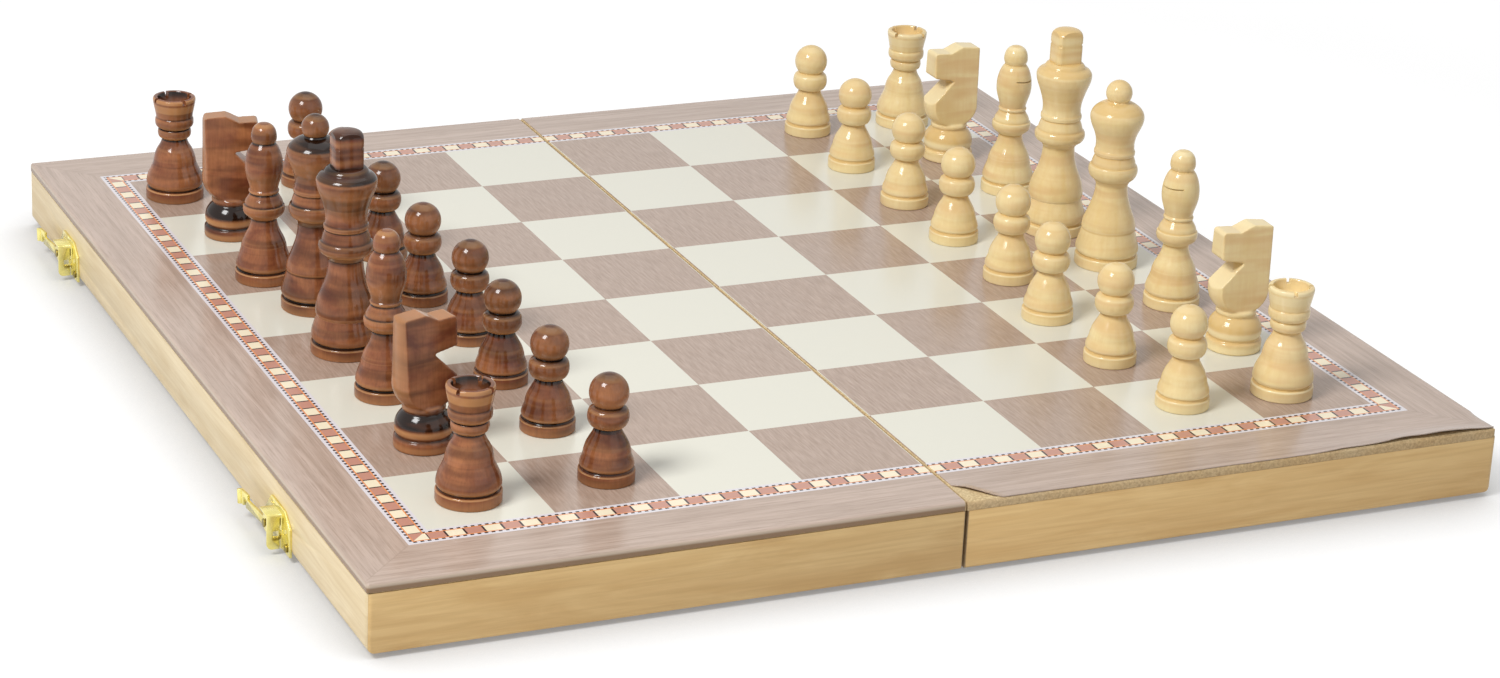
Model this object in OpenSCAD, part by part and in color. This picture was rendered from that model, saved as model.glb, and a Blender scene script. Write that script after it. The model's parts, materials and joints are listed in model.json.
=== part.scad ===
// Folding chess box, lying open and flat with its board side up and its 32 men set out.
// X runs from the dark men to the light men, Y from front to back and Z up.
// The origin lies on the table, under the middle of the fold.

/* [Board] */
// Side of one square of the board
square_w = 42; // [34:0.5:60]
// Printed border outside the squares at the two ends
border_end = 30; // [20:0.5:50]
// Printed border outside the squares at the front and back
border_side = 32; // [20:0.5:50]
// Strip between the squares and the fold line on each half
fold_strip = 1; // [0.8:0.1:4]
// Thickness of the fibreboard panel
panel_t = 3; // [2:0.1:6]
// Distance from the fold line to the edge of each panel
panel_gap = 0.2; // [0.15:0.05:0.5]
// Rounding of the panel's upper outer edges
panel_round = 1.2; // [0.5:0.1:1.8]
// Thickness of the printed film
film_t = 0.3; // [0.2:0.05:0.6]
// Length of the torn film corner along the front edge
tear_front = 12; // [2:0.5:25]
// Length of the torn film corner along the fold
tear_fold = 14; // [2:0.5:30]

/* [Rails] */
// Height of the rails
rail_h = 20; // [17:0.1:40]
// Thickness of the front, back and end rails
rail_t = 9; // [7:0.5:14]
// Thickness of the two rails beside the fold
centre_t = 9.6; // [9.3:0.1:14]
// Distance from the fold line to each centre rail
centre_gap = 0.6; // [0.35:0.05:1]
// Radius of the outer corners, seen from above
corner_r = 2; // [0.5:0.5:6]
// Rounding of the lower edges at the front and back
rim_round = 0.8; // [0.5:0.1:4]
// Rounding of the lower edges at the two ends
end_round = 3.5; // [0.5:0.1:5]
// Thickness of the printed lining inside each half
lining_t = 0.3; // [0.2:0.05:0.6]
// Clearance round the edge of the lining
lining_gap = 0.2; // [0.05:0.05:1]

/* [Hinges] */
// Distance of each hinge's middle from the end of the fold
hinge_inset = 80; // [50:1:140]
// Length of a hinge along the fold
hinge_len = 25; // [18:0.5:40]
// Width of a hinge leaf, from the pin to its edge
leaf_w = 8; // [6.5:0.1:9]
// Thickness of a hinge leaf
leaf_t = 0.7; // [0.5:0.05:0.9]
// Radius of the hinge knuckles
knuckle_r = 1.25; // [1.2:0.05:1.8]
// Radius of the hinge pins
hinge_pin_r = 0.5; // [0.3:0.05:0.6]
// Gap between the two rims when the box is shut
shut_gap = 0.3; // [0.2:0.05:0.6]
// Radius of the hinge screws
screw_r = 0.8; // [0.5:0.05:1]
// Radius of the hinge screw heads
screw_head_r = 1.5; // [1.3:0.05:1.8]
// Length of the hinge screws
screw_len = 7; // [4:0.5:12]

/* [Catches] */
// Distance of the front catch's pivot from the front end of its rail
catch_front_inset = 84.5; // [40:0.5:140]
// Distance of the back catch's pivot from the back end of its rail
catch_back_inset = 59.5; // [35:0.5:140]
// Thickness of the catch and keeper plates
plate_t = 0.8; // [0.5:0.05:1]
// Height of the catch and keeper plates
plate_h = 13.7; // [12.5:0.1:15]
// Height of the hook's pivot above the rim
pivot_h = 8.2; // [7:0.1:9.5]
// Radius of the hook's pivot pin
pivot_r = 0.9; // [0.6:0.05:1.1]
// Distance that the folded wall stands out from the rail
wall_out = 5.7; // [4.5:0.1:8]
// Thickness of the hook
hook_t = 1; // [0.6:0.05:1.3]
// Width of the hook's arm
arm_w = 3; // [2.5:0.1:3.6]
// Radius of the round root of the hook
hook_root_r = 2.9; // [2.2:0.1:3.2]
// Length of the hook beyond the keeper's stud
claw_len = 4.2; // [3.8:0.1:6]
// How far the open hook's arm droops, in degrees
hook_droop = 6; // [0:1:20]
// Height of the keeper's stud above the rim
stud_h = 14; // [11:0.1:15]
// Radius of the keeper's stud
stud_r = 1.2; // [0.8:0.05:1.4]
// Radius of the nails in the plates
nail_r = 0.5; // [0.3:0.05:0.8]
// Radius of the nails' heads
nail_head_r = 1.3; // [1:0.05:1.6]
// Length of the nails in the plates
nail_len = 7; // [4:0.5:8]

/* [Chessmen] */
// Height of a king
king_h = 79; // [60:0.5:95]
// Diameter of a king's base
king_d = 23.4; // [18:0.1:30]
// Height of a queen
queen_h = 70.5; // [55:0.5:85]
// Diameter of a queen's base
queen_d = 23.2; // [18:0.1:30]
// Height of a bishop
bishop_h = 58; // [45:0.5:70]
// Diameter of a bishop's base
bishop_d = 20.2; // [16:0.1:26]
// Height of a knight
knight_h = 46; // [36:0.5:60]
// Diameter of a knight's base
knight_d = 19.6; // [16:0.1:26]
// Thickness of a knight's head at its ears
knight_top_t = 7.4; // [6:0.1:12]
// Thickness of a knight's body at its foot
knight_low_t = 12; // [8:0.1:14]
// Height of a rook
rook_h = 39; // [30:0.5:50]
// Diameter of a rook's base
rook_d = 21.3; // [16:0.1:26]
// Height of a pawn
pawn_h = 36; // [28:0.5:45]
// Diameter of a pawn's base
pawn_d = 18.4; // [14:0.1:24]
// Width of the saw cuts in the bishops
kerf = 0.5; // [0.3:0.05:1]
// Width of the gaps in a rook's battlement
rook_gap = 1.3; // [0.6:0.1:2.5]
// Depth of the gaps in a rook's battlement
rook_gap_h = 1.6; // [0.6:0.1:3]

/* [Hidden] */
fold_nodes = [
    "left_panel", "left_board_film", "left_lining",
    "left_front_rail", "left_back_rail", "left_end_rail", "left_centre_rail",
    "right_panel", "right_board_film", "right_lining",
    "right_front_rail", "right_back_rail", "right_end_rail", "right_centre_rail",
    "front_hinge_left_leaf", "front_hinge_right_leaf",
    "back_hinge_left_leaf", "back_hinge_right_leaf",
    "hinge_pins", "left_hinge_screws", "right_hinge_screws",
    "front_catch_plate", "back_catch_plate", "front_catch_hook", "back_catch_hook",
    "catch_pins", "keeper_plates", "keeper_nails"
];
// Kind of man, its number among its like, file (0 to 7 from the front), then how far the dark
// and the light one stand off the middle of their squares along X and Y, and how far they turn
men = [
    ["rook", "_1", 0, [-1, -3], [-3.5, -3], 40, 70],
    ["knight", "_1", 1, [0, 0], [2.5, -2], 12, 177],
    ["bishop", "_1", 2, [2, 2], [2.5, 0], 30, 200],
    ["king", "", 3, [2, 1.5], [-2, -1.5], 0, 0],
    ["queen", "", 4, [5, 2.5], [0, 2.5], 0, 0],
    ["bishop", "_2", 5, [-3.5, -8], [2.5, 3], 120, 300],
    ["knight", "_2", 6, [-1, -2.5], [-2.5, 3], -14, 180],
    ["rook", "_2", 7, [-9, 1.5], [-1, 5], 12, 30]
];
// Offsets of the dark and the light pawns, file by file from the front
dark_pawn_offsets = [[4, -1], [1, 1], [1, 2.5], [4, 0], [1, -2], [2, 2], [0, 0], [0, 2]];
light_pawn_offsets = [[0, -2.5], [-4, -1], [-5.5, 0.5], [-0.5, -1.5], [-1, 0], [-1, 0], [-2.5, 2.5], [-1, 5]];
// The kings and queens change places: the light king stands behind, beside the dark queen's file
function man_file(side, kind, file) =
    side == "light" && kind == "king" ? 4 : side == "light" && kind == "queen" ? 3 : file;

men_nodes = [
    for (side = ["dark", "light"]) for (m = men) str(side, "_", m[0], m[1]),
    for (side = ["dark", "light"]) for (i = [1:8]) str(side, "_pawn_", i)
];

$fn = 48;
cut = 1; // how far a cutting shape runs past what it cuts
fit = 0.05; // radial clearance of a pin that turns in its bore
snug = 0.02; // radial clearance of a screw or nail in its hole
clear = 0.3; // clearance between pieces that pass each other

half_l = fold_strip + 4 * square_w + border_end;
half_w = 4 * square_w + border_side;
hinge_y = half_w - hinge_inset;
catch_front_y = catch_front_inset - half_w;
catch_back_y = half_w - catch_back_inset;
axis_z = knuckle_r;
rim_z = axis_z + shut_gap / 2;
rail_top = rim_z + rail_h;
panel_top = rail_top + panel_t;
board_top = panel_top + film_t;
centre_inner = centre_gap + centre_t;
mitre_y = half_w - rail_t;
mitre_x = half_l - rail_t;

// ---- helpers ----

function arc(c, r, a0, a1, n) = [
    for (i = [0:n]) let (a = a0 + (a1 - a0) * i / n) c + r * [cos(a), sin(a)]
];

// One point of a smooth curve through four neighbours, at the share t between b and c
function between(a, b, c, d, t) =
    0.5 * (2 * b + (c - a) * t + (2 * a - 5 * b + 4 * c - d) * t * t + (3 * b - a - 3 * c + d) * t * t * t);

// Smooth curve through all the points of p, with steps parts to each stretch
function smooth(p, steps = 2) = [
    for (i = [0:len(p) - 2]) for (k = [0:steps - 1])
        between(p[max(i - 1, 0)], p[i], p[i + 1], p[min(i + 2, len(p) - 1)], k / steps),
    p[len(p) - 1]
];

// An outline drawn for a man of base radius ref[0] and height ref[1], stretched to d and h
function stretch(p, ref, d, h) = [for (q = p) [q[0] * d / 2 / ref[0], q[1] * h / ref[1]]];

// Takes the corner off an edge along Y: the arc's centre is at the origin, the edge at +X and +Z
module edge_cut_y(r, length) {
    difference() {
        translate([0, -length / 2, 0]) cube([r + cut, length, r + cut]);
        rotate([90, 0, 0]) cylinder(r = r, h = length + 2 * cut, center = true);
    }
}

module edge_cut_x(r, length) {
    rotate([0, 0, 90]) edge_cut_y(r, length);
}

module edge_cut_z(r, length) {
    rotate([90, 0, 0]) edge_cut_y(r, length);
}

// ---- the two halves, drawn on the +X side ----

// Rounds the outer lower edges of the rails and their outer upright corners
module rail_rounding() {
    long = 2 * half_w + 2 * cut;
    translate([half_l - end_round, 0, rim_z + end_round]) rotate([0, 90, 0]) edge_cut_y(end_round, long);
    for (s = [-1, 1]) {
        translate([half_l / 2, s * (half_w - rim_round), rim_z + rim_round])
            rotate([s > 0 ? -90 : 180, 0, 0]) edge_cut_x(rim_round, half_l + 2 * cut);
        translate([half_l - corner_r, s * (half_w - corner_r), rim_z + rail_h / 2])
            rotate([0, 0, s > 0 ? 90 : 0]) edge_cut_z(corner_r, rail_h + 2 * cut);
    }
}

module rail_prism(points) {
    difference() {
        translate([0, 0, rim_z]) linear_extrude(rail_h) polygon(points);
        rail_rounding();
    }
}

module side_rail(s) {
    rail_prism([
        [centre_gap, s * half_w], [half_l, s * half_w],
        [mitre_x, s * mitre_y], [centre_inner, s * mitre_y]
    ]);
}

module end_rail() {
    rail_prism([[half_l, -half_w], [half_l, half_w], [mitre_x, mitre_y], [mitre_x, -mitre_y]]);
}

module centre_rail() {
    difference() {
        rail_prism([
            [centre_gap, -half_w], [centre_inner, -mitre_y],
            [centre_inner, mitre_y], [centre_gap, half_w]
        ]);
        for (s = [-1, 1]) translate([0, s * hinge_y, 0]) hinge_recess();
    }
}

// Room for one hinge in a centre rail: the leaf's bed, the knuckles and the pilot holes
module hinge_recess() {
    bed = hinge_len + 2 * snug;
    translate([0, -bed / 2, rim_z - cut]) cube([leaf_w + snug, bed, leaf_t + cut]);
    translate([0, 0, axis_z]) rotate([90, 0, 0]) cylinder(r = relief_r, h = bed, center = true);
    screw_places() cylinder(r = screw_r + snug, h = screw_len + snug);
}

module panel() {
    plan_l = half_l - panel_gap;
    difference() {
        translate([panel_gap, -half_w, rail_top]) cube([plan_l, 2 * half_w, panel_t]);
        translate([half_l - panel_round, 0, panel_top - panel_round])
            edge_cut_y(panel_round, 2 * half_w + 2 * cut);
        for (s = [-1, 1]) {
            translate([half_l / 2, s * (half_w - panel_round), panel_top - panel_round])
                rotate([s > 0 ? 0 : 90, 0, 0]) edge_cut_x(panel_round, half_l + 2 * cut);
            translate([half_l - corner_r, s * (half_w - corner_r), rail_top + panel_t / 2])
                rotate([0, 0, s > 0 ? 90 : 0]) edge_cut_z(corner_r, panel_t + 2 * cut);
        }
    }
}

// The film lies on the flat of the panel; torn takes off its front corner at the fold
module film(torn) {
    edge_x = half_l - panel_round;
    edge_y = half_w - panel_round;
    front = torn
        ? [[panel_gap, tear_fold - edge_y], [panel_gap + tear_front, -edge_y]]
        : [[panel_gap, -edge_y]];
    translate([0, 0, panel_top]) linear_extrude(film_t)
        polygon(concat(front, [[edge_x, -edge_y], [edge_x, edge_y], [panel_gap, edge_y]]));
}

module lining() {
    length = mitre_x - centre_inner - 2 * lining_gap;
    width = 2 * (mitre_y - lining_gap);
    translate([centre_inner + lining_gap, -width / 2, rail_top - lining_t])
        cube([length, width, lining_t]);
}

module left_side() {
    mirror([1, 0, 0]) children();
}

// ---- hinges ----

knuckle_gap = 0.15; // between neighbouring knuckles
knuckle_len = hinge_len / 3 - knuckle_gap;
leaf_start = knuckle_r + clear;
relief_r = norm([leaf_start, leaf_t + shut_gap / 2]) + clear;
sink = 0.7 * leaf_t; // depth of the countersinks in the leaves
screw_x = (leaf_start + leaf_w) / 2;
screw_y = hinge_len / 3;

module screw_places() {
    for (s = [-1, 1]) translate([screw_x, s * screw_y, rim_z]) children();
}

// The tab that joins a knuckle to its leaf is a little shorter than the knuckle
module knuckle(y) {
    tab_len = knuckle_len - 2 * snug;
    translate([0, y, 0]) {
        translate([0, 0, axis_z]) rotate([90, 0, 0]) cylinder(r = knuckle_r, h = knuckle_len, center = true);
        translate([0, -tab_len / 2, rim_z]) cube([leaf_start + snug, tab_len, leaf_t]);
    }
}

module leaf(knuckles) {
    difference() {
        union() {
            translate([leaf_start, -hinge_len / 2, rim_z]) cube([leaf_w - leaf_start, hinge_len, leaf_t]);
            for (y = knuckles) knuckle(y);
        }
        translate([0, 0, axis_z]) rotate([90, 0, 0])
            cylinder(r = hinge_pin_r + fit, h = hinge_len + cut, center = true);
        screw_places() {
            cylinder(r = screw_r + snug, h = 3 * leaf_t, center = true);
            cylinder(r1 = screw_head_r + snug, r2 = screw_r + snug, h = sink);
        }
    }
}

module left_leaf(y) {
    step = hinge_len / 3;
    color("goldenrod") translate([0, y, 0]) left_side() leaf([-step, step]);
}

module right_leaf(y) {
    color("goldenrod") translate([0, y, 0]) leaf([0]);
}

module hinge_screws() {
    for (s = [-1, 1]) translate([0, s * hinge_y, 0]) screw_places() {
        cylinder(r1 = screw_head_r, r2 = screw_r, h = sink);
        translate([0, 0, sink]) cylinder(r = screw_r, h = screw_len - sink);
    }
}

module hinge_pins() {
    color("darkgoldenrod") for (s = [-1, 1]) translate([0, s * hinge_y, axis_z])
        rotate([90, 0, 0]) cylinder(r = hinge_pin_r, h = hinge_len, center = true);
}

// ---- catches, drawn with their rail face at x = 0, outwards along +X and the rim at z = 0 ----

plate_low = 0.4; // lower edge of the catch plate above the rim
plate_top = plate_low + plate_h;
// The catch plate's outline, along Y from the pivot and above the rim, with its upper corners cut
catch_outline = [
    [-12, plate_low], [-12, plate_top - 4.2], [-6.5, plate_top], [7.5, plate_top],
    [14.5, plate_top - 7.5], [14.5, plate_low]
];
wall_y = -(hook_root_r + clear + plate_t); // front face of the folded wall
wall_top = pivot_h + hook_root_r + clear + plate_t;
flange_len = plate_t + 7; // depth of the wall's top flange along Y
wall_round = 1.8; // rounding of the wall's lower outer corner
window_w = 1.9; // square window in the wall
window_z = 5.6; // height of its middle above the rim
slit_w = 0.35; // slits beside the fold, above and below the window
catch_nails = [[-8.6, 2.4], [10.5, 3]]; // plate nails, along Y and above the rim
head_t = 0.5; // thickness of the nails' and pins' heads
hook_out = wall_out - head_t - 0.2; // outer face of the hook
hook_in = hook_out - hook_t;
hook_reach = pivot_h + stud_h + shut_gap; // from the pivot to the stud when the box is shut
slot_r = stud_r + clear;
claw_w = 1.7; // breadth of the claw on each side of its slot
keeper_w = 14; // width of a keeper plate
keeper_low = stud_h - plate_h + 4.5; // lower edge of a keeper plate above the rim
keeper_nails_at = [[-4.6, stud_h - 5], [4.6, stud_h - 5]]; // keeper nails, along Y and above the rim
stud_head_t = 0.8;
stud_head_r = stud_r + 1;

module at_catch(y) {
    translate([-half_l, y, rim_z]) left_side() children();
}

module at_keeper(y) {
    translate([half_l, y, rim_z]) children();
}

// A flat piece drawn on Y and Z, from x = x0 and t thick
module flat_piece(x0, t) {
    translate([x0, 0, 0]) rotate([90, 0, 90]) linear_extrude(t) children();
}

// A round piece along X, from x0 to x1, at p along Y and above the rim
module round_x(x0, x1, r, p) {
    translate([x0, p[0], p[1]]) rotate([0, 90, 0]) cylinder(r = r, h = x1 - x0);
}

// The wall folded out of the plate, with its window, slits and rounded lower corner
module folded_wall() {
    out = wall_out - plate_t / 2;
    difference() {
        translate([plate_t / 2, wall_y, plate_low]) cube([out, plate_t, wall_top - plate_low]);
        translate([wall_out - wall_round, wall_y + plate_t / 2, plate_low + wall_round])
            rotate([0, 90, 0]) edge_cut_y(wall_round, plate_t + 2 * cut);
        translate([wall_out / 2 - window_w / 2, wall_y - cut, window_z - window_w / 2])
            cube([window_w, plate_t + 2 * cut, window_w]);
        for (z = [plate_low - cut, window_z + window_w / 2])
            translate([plate_t + slit_w, wall_y - cut, z])
                cube([slit_w, plate_t + 2 * cut, window_z - window_w - plate_low + cut]);
    }
}

module catch_plate() {
    color("gold") difference() {
        union() {
            flat_piece(0, plate_t) polygon(catch_outline);
            folded_wall();
            translate([plate_t / 2, wall_y, wall_top - plate_t])
                cube([wall_out - plate_t / 2, flange_len, plate_t]);
        }
        round_x(-cut, plate_t + cut, pivot_r + snug, [0, pivot_h]);
        for (p = catch_nails) round_x(-cut, plate_t + cut, nail_r + snug, p);
    }
}

// Hook in its open place, along +Y and drooping, with a slot for the stud in its lower side
module catch_hook() {
    claw_h = arm_w / 2 + claw_w;
    end = hook_reach + claw_len;
    color("khaki") translate([0, 0, pivot_h]) rotate([-hook_droop, 0, 0]) {
        difference() {
            flat_piece(hook_in, hook_t) union() {
                circle(r = hook_root_r);
                translate([0, -arm_w / 2]) square([hook_reach, arm_w]);
                translate([hook_reach - slot_r - claw_w, -arm_w / 2])
                    square([slot_r + claw_w + claw_len, claw_h + arm_w / 2]);
            }
            flat_piece(hook_in - cut, hook_t + 2 * cut) translate([hook_reach, 0]) union() {
                circle(r = slot_r);
                translate([-slot_r, -arm_w]) square([2 * slot_r, arm_w]);
            }
            round_x(0, wall_out, pivot_r + fit, [0, 0]);
        }
        translate([hook_out, end, -arm_w / 2]) cylinder(r = hook_t, h = claw_h + arm_w / 2);
    }
}

module nail(p, x1) {
    round_x(-nail_len, x1 + head_t / 2, nail_r, p);
    round_x(x1, x1 + head_t, nail_head_r, p);
}

// Each pivot pin has a shoulder that keeps the hook off the plate, and a head outside the hook
module catch_pins() {
    color("gold") for (y = [catch_front_y, catch_back_y]) at_catch(y) {
        round_x(-nail_len, hook_out + clear, pivot_r, [0, pivot_h]);
        round_x(plate_t, hook_in - clear, pivot_r + head_t, [0, pivot_h]);
        round_x(hook_out + clear - fit, hook_out + clear - fit + head_t, pivot_r + head_t, [0, pivot_h]);
        for (p = catch_nails) nail(p, plate_t);
    }
}

module keeper_plates() {
    stud_end = hook_out + clear;
    color("gold") for (y = [catch_front_y, catch_back_y]) at_keeper(y) {
        difference() {
            flat_piece(0, plate_t) translate([-keeper_w / 2, keeper_low]) square([keeper_w, plate_h]);
            for (p = keeper_nails_at) round_x(-cut, plate_t + cut, nail_r + snug, p);
        }
        round_x(plate_t / 2, stud_end + stud_head_t, stud_r, [0, stud_h]);
        round_x(stud_end, stud_end + stud_head_t, stud_head_r, [0, stud_h]);
    }
}

module keeper_nails() {
    color("gold") for (y = [catch_front_y, catch_back_y]) at_keeper(y)
        for (p = keeper_nails_at) nail(p, plate_t);
}

// Holes in an end rail for the pins and nails of two plates
module nail_holes(places, pivots) {
    deep = nail_len + snug;
    for (y = [catch_front_y, catch_back_y]) translate([half_l, y, rim_z]) {
        for (p = places) round_x(-deep, cut, nail_r + snug, p);
        if (pivots) round_x(-deep, cut, pivot_r + snug, [0, pivot_h]);
    }
}

// ---- chessmen, drawn standing at z = 0 and turned from outlines of radius and height ----

foot_h = 4.2; // height of the disc under every man
groove = 0.4; // height of the groove above it

// Outline of the disc and the groove, up to where the body starts
function foot(rb, rg) = [
    [0, 0], [rb - 0.5, 0], [rb, 0.5], [rb, foot_h - 0.4], [rb - 0.4, foot_h],
    [rg, foot_h], [rg, foot_h + groove]
];

pawn_ref = [9.2, 36];
pawn_outline = concat(
    foot(9.2, 8.2),
    smooth([[8.3, 4.7], [8.8, 5.6], [8.6, 6.9], [8.1, 8.2], [7.75, 9.3]]),
    smooth([[7.65, 10.2], [6.95, 12.4], [5.9, 14.4], [4.9, 16.2], [4.3, 17.8]]),
    smooth([[4.5, 18.1], [5.7, 18.7], [6.5, 20.2], [6.7, 22], [6.3, 23.8], [5.3, 24.8]]),
    arc([0, 29.6], 6.4, -44, 90, 14)
);

rook_ref = [10.65, 39];
rook_outline = concat(
    foot(10.65, 9.4),
    smooth([[9.7, 4.7], [10.4, 5.8], [10.4, 7], [10, 8.8], [9.3, 10.5], [8.55, 12.1], [7.9, 13.7]]),
    smooth([[7.75, 15], [7.3, 16.9], [6.6, 18.6], [5.7, 20.1], [5, 21.5], [4.6, 22.9]]),
    smooth([[4.9, 23.2], [5.8, 23.9], [6.15, 25.2], [6, 26.5], [5.6, 27]]),
    smooth([[6, 27.3], [6.9, 28.3], [7.1, 29.6], [7, 30.7], [6.7, 31.3]]),
    smooth([[6.75, 31.7], [7, 33.2], [7.5, 35.6], [7.85, 37.8], [7.7, 38.7], [7.2, 39]]),
    [[6.3, 39]],
    smooth([[5.95, 38.6], [5.6, 36], [5, 35], [0, 34.6]], 1)
);

bishop_ref = [10.1, 58];
bishop_outline = concat(
    foot(10.1, 9),
    smooth([[9.2, 4.7], [9.8, 5.7], [9.7, 6.9], [9.2, 8.7], [8.6, 10.3], [8.1, 11.8]]),
    smooth([[7.95, 13.2], [7.3, 15.2], [6.4, 17], [5.5, 18.8], [4.85, 20.8], [4.5, 22.8]]),
    smooth([[4.7, 23], [5.8, 23.9], [7, 25.1], [7.4, 26.6], [7.25, 27.9]]),
    smooth([[6.8, 28.3], [6.5, 29.6], [5.7, 31], [4.9, 32.4]]),
    smooth([[5.3, 32.8], [5.35, 33.4], [4.95, 34]]),
    smooth([[5.4, 36], [6.1, 38.2], [6.6, 40.5], [6.7, 42.8], [6.5, 45], [5.9, 47.4], [5.1, 49.3],
        [4, 50.8]]),
    smooth([[4.1, 51.2], [4.5, 52.4], [4.45, 54], [4.1, 55.5], [3.2, 56.9], [1.8, 57.8], [0, 58]])
);

queen_ref = [11.6, 70.5];
queen_outline = concat(
    foot(11.6, 10.4),
    smooth([[10.7, 4.7], [11.5, 5.8], [11.5, 7.2], [11, 9.2], [10.3, 11.6], [9.7, 13.8]]),
    smooth([[9.9, 14.6], [9.75, 16], [9.3, 17.8], [8.3, 20.3], [7.3, 23], [6.5, 25.6], [6, 28.2],
        [5.85, 31]]),
    smooth([[6, 31.4], [6.7, 32.6], [8.2, 34], [8.9, 35.6], [9, 37], [8.65, 38.2]]),
    smooth([[8.15, 38.6], [7.85, 40], [7.35, 41.4], [7.05, 42.2]]),
    smooth([[7.45, 42.7], [7.5, 43.7], [7.1, 44.6]]),
    smooth([[7, 46.6], [7.3, 48.8], [8, 51], [8.9, 53], [9.6, 55], [9.85, 56.8], [9.5, 58.4], [8.6, 59.8],
        [7.2, 61], [5.6, 61.9], [4.2, 62.4]]),
    arc([0, 65.7], 4.8, -36, 90, 12)
);

king_ref = [11.7, 79];
king_outline = concat(
    foot(11.7, 10.5),
    smooth([[10.8, 4.7], [11.5, 6], [11.4, 8], [10.7, 10.4], [10.1, 12.2], [9.7, 13.4]]),
    smooth([[10.2, 14.4], [10.15, 16.4], [9.5, 19.6], [8.5, 22.4], [7.4, 25], [6.6, 27.6], [6.1, 30.4],
        [5.9, 33.4]]),
    smooth([[6.1, 33.8], [7.1, 35], [8.7, 36.2], [9.35, 37.6], [9.3, 39], [8.9, 39.8]]),
    smooth([[8.4, 40.2], [8.05, 41.6], [7.5, 43.2], [7.15, 44.1]]),
    smooth([[7.6, 44.6], [7.65, 45.7], [7.2, 46.6]]),
    smooth([[7.1, 48.6], [7.4, 51], [8.1, 53.6], [9, 56.2], [9.9, 58.6], [10.3, 60.6], [10.2, 62],
        [9.4, 63.2], [8.3, 63.9]]),
    smooth([[7.7, 64.3], [7.2, 65.2], [6.4, 65.9], [5.6, 66.1]]),
    [[0, 66.1]]
);
finial_outline = concat(
    [[0, 65.8], [5.6, 65.8]],
    smooth([[6.2, 66.8], [6.4, 68.4], [6.35, 70.4], [6.15, 72.4]]),
    [[5.7, 73], [5.7, 73.5]],
    smooth([[6.15, 74.1], [6, 75.9], [5.4, 77.5], [3.8, 78.6], [0, 79]])
);
finial_flats = [9.9, 8.5]; // the finial's size over its flats, along X and Y

knight_ref = [9.8, 46];
knight_base = concat(
    foot(9.8, 8.7),
    smooth([[8.9, 4.8], [9.45, 5.9], [9.5, 7.6], [9.1, 9.6], [8, 11.4], [7, 12.4]]),
    smooth([[6.7, 12.8], [7.1, 13.4], [7.1, 14.2], [6.7, 14.8]]),
    [[0, 14.8]]
);
knight_body = concat(
    [[0, 14.4], [6.6, 14.4]],
    smooth([[6.7, 14.8], [8.2, 16.2], [9.6, 18.2], [10.4, 20.6], [10.5, 23], [10.4, 26]]),
    [[10.3, 47], [0, 47]]
);
// Side view of the head, looking towards +X: nape, ears, notch, snout, mouth and chest
knight_head = concat(
    [[-11, 14], [-11, 43.4]],
    arc([-8.4, 43.4], 2, 180, 95, 4),
    [[-2.2, 46], [-0.4, 45.3], [2.6, 43.7]],
    arc([8.2, 42.7], 1.4, 90, 0, 4),
    arc([8.4, 35.2], 1.2, 0, -75, 4),
    [[1.3, 32.7], [1.3, 32.2], [11, 22.6], [11, 14]]
);

module turned(outline, ref, d, h) {
    rotate_extrude($fn = 64) polygon(stretch(outline, ref, d, h));
}

module pawn() {
    turned(pawn_outline, pawn_ref, pawn_d, pawn_h);
}

module rook() {
    difference() {
        turned(rook_outline, rook_ref, rook_d, rook_h);
        for (a = [0, 90]) rotate([0, 0, a]) translate([-rook_d / 2, -rook_gap / 2, rook_h - rook_gap_h])
            cube([rook_d, rook_gap, rook_gap_h + cut]);
    }
}

module bishop() {
    kerf_z = 0.78 * bishop_h;
    difference() {
        turned(bishop_outline, bishop_ref, bishop_d, bishop_h);
        translate([0.2 * bishop_d, 0, kerf_z]) rotate([0, -8, 0])
            translate([0, -bishop_d / 2, 0]) cube([bishop_d, bishop_d, kerf]);
    }
}

module queen() {
    turned(queen_outline, queen_ref, queen_d, queen_h);
}

module king() {
    flats = finial_flats * king_d / 2 / king_ref[0];
    turned(king_outline, king_ref, king_d, king_h);
    intersection() {
        turned(finial_outline, king_ref, king_d, king_h);
        translate([-flats[0] / 2, -flats[1] / 2, 0]) cube([flats[0], flats[1], king_h + cut]);
    }
}

// The knight's flat sides lean towards each other, from knight_low_t apart to knight_top_t
module knight() {
    low_z = 0.3 * knight_h;
    top_z = knight_h + cut;
    turned(knight_base, knight_ref, knight_d, knight_h);
    intersection() {
        turned(knight_body, knight_ref, knight_d, knight_h);
        rotate([90, 0, 0]) linear_extrude(knight_d, center = true)
            polygon(stretch(knight_head, knight_ref, knight_d, knight_h));
        rotate([90, 0, 90]) linear_extrude(2 * knight_d, center = true) polygon([
            [-knight_low_t / 2, low_z], [knight_low_t / 2, low_z],
            [knight_top_t / 2, top_z], [-knight_top_t / 2, top_z]
        ]);
    }
}

module man(kind) {
    if (kind == "pawn") pawn();
    if (kind == "rook") rook();
    if (kind == "bishop") bishop();
    if (kind == "knight") knight();
    if (kind == "queen") queen();
    if (kind == "king") king();
}

// Places a man on the square at rank 0 to 7 from the left end and file 0 to 7 from the front
module on_square(rank, file, offset, turn) {
    side = rank < 4 ? -1 : 1;
    x = side * fold_strip + (rank - 3.5) * square_w + offset[0];
    y = (file - 3.5) * square_w + offset[1];
    translate([x, y, board_top]) rotate([0, 0, turn]) children();
}

// ---- nodes ----

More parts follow.
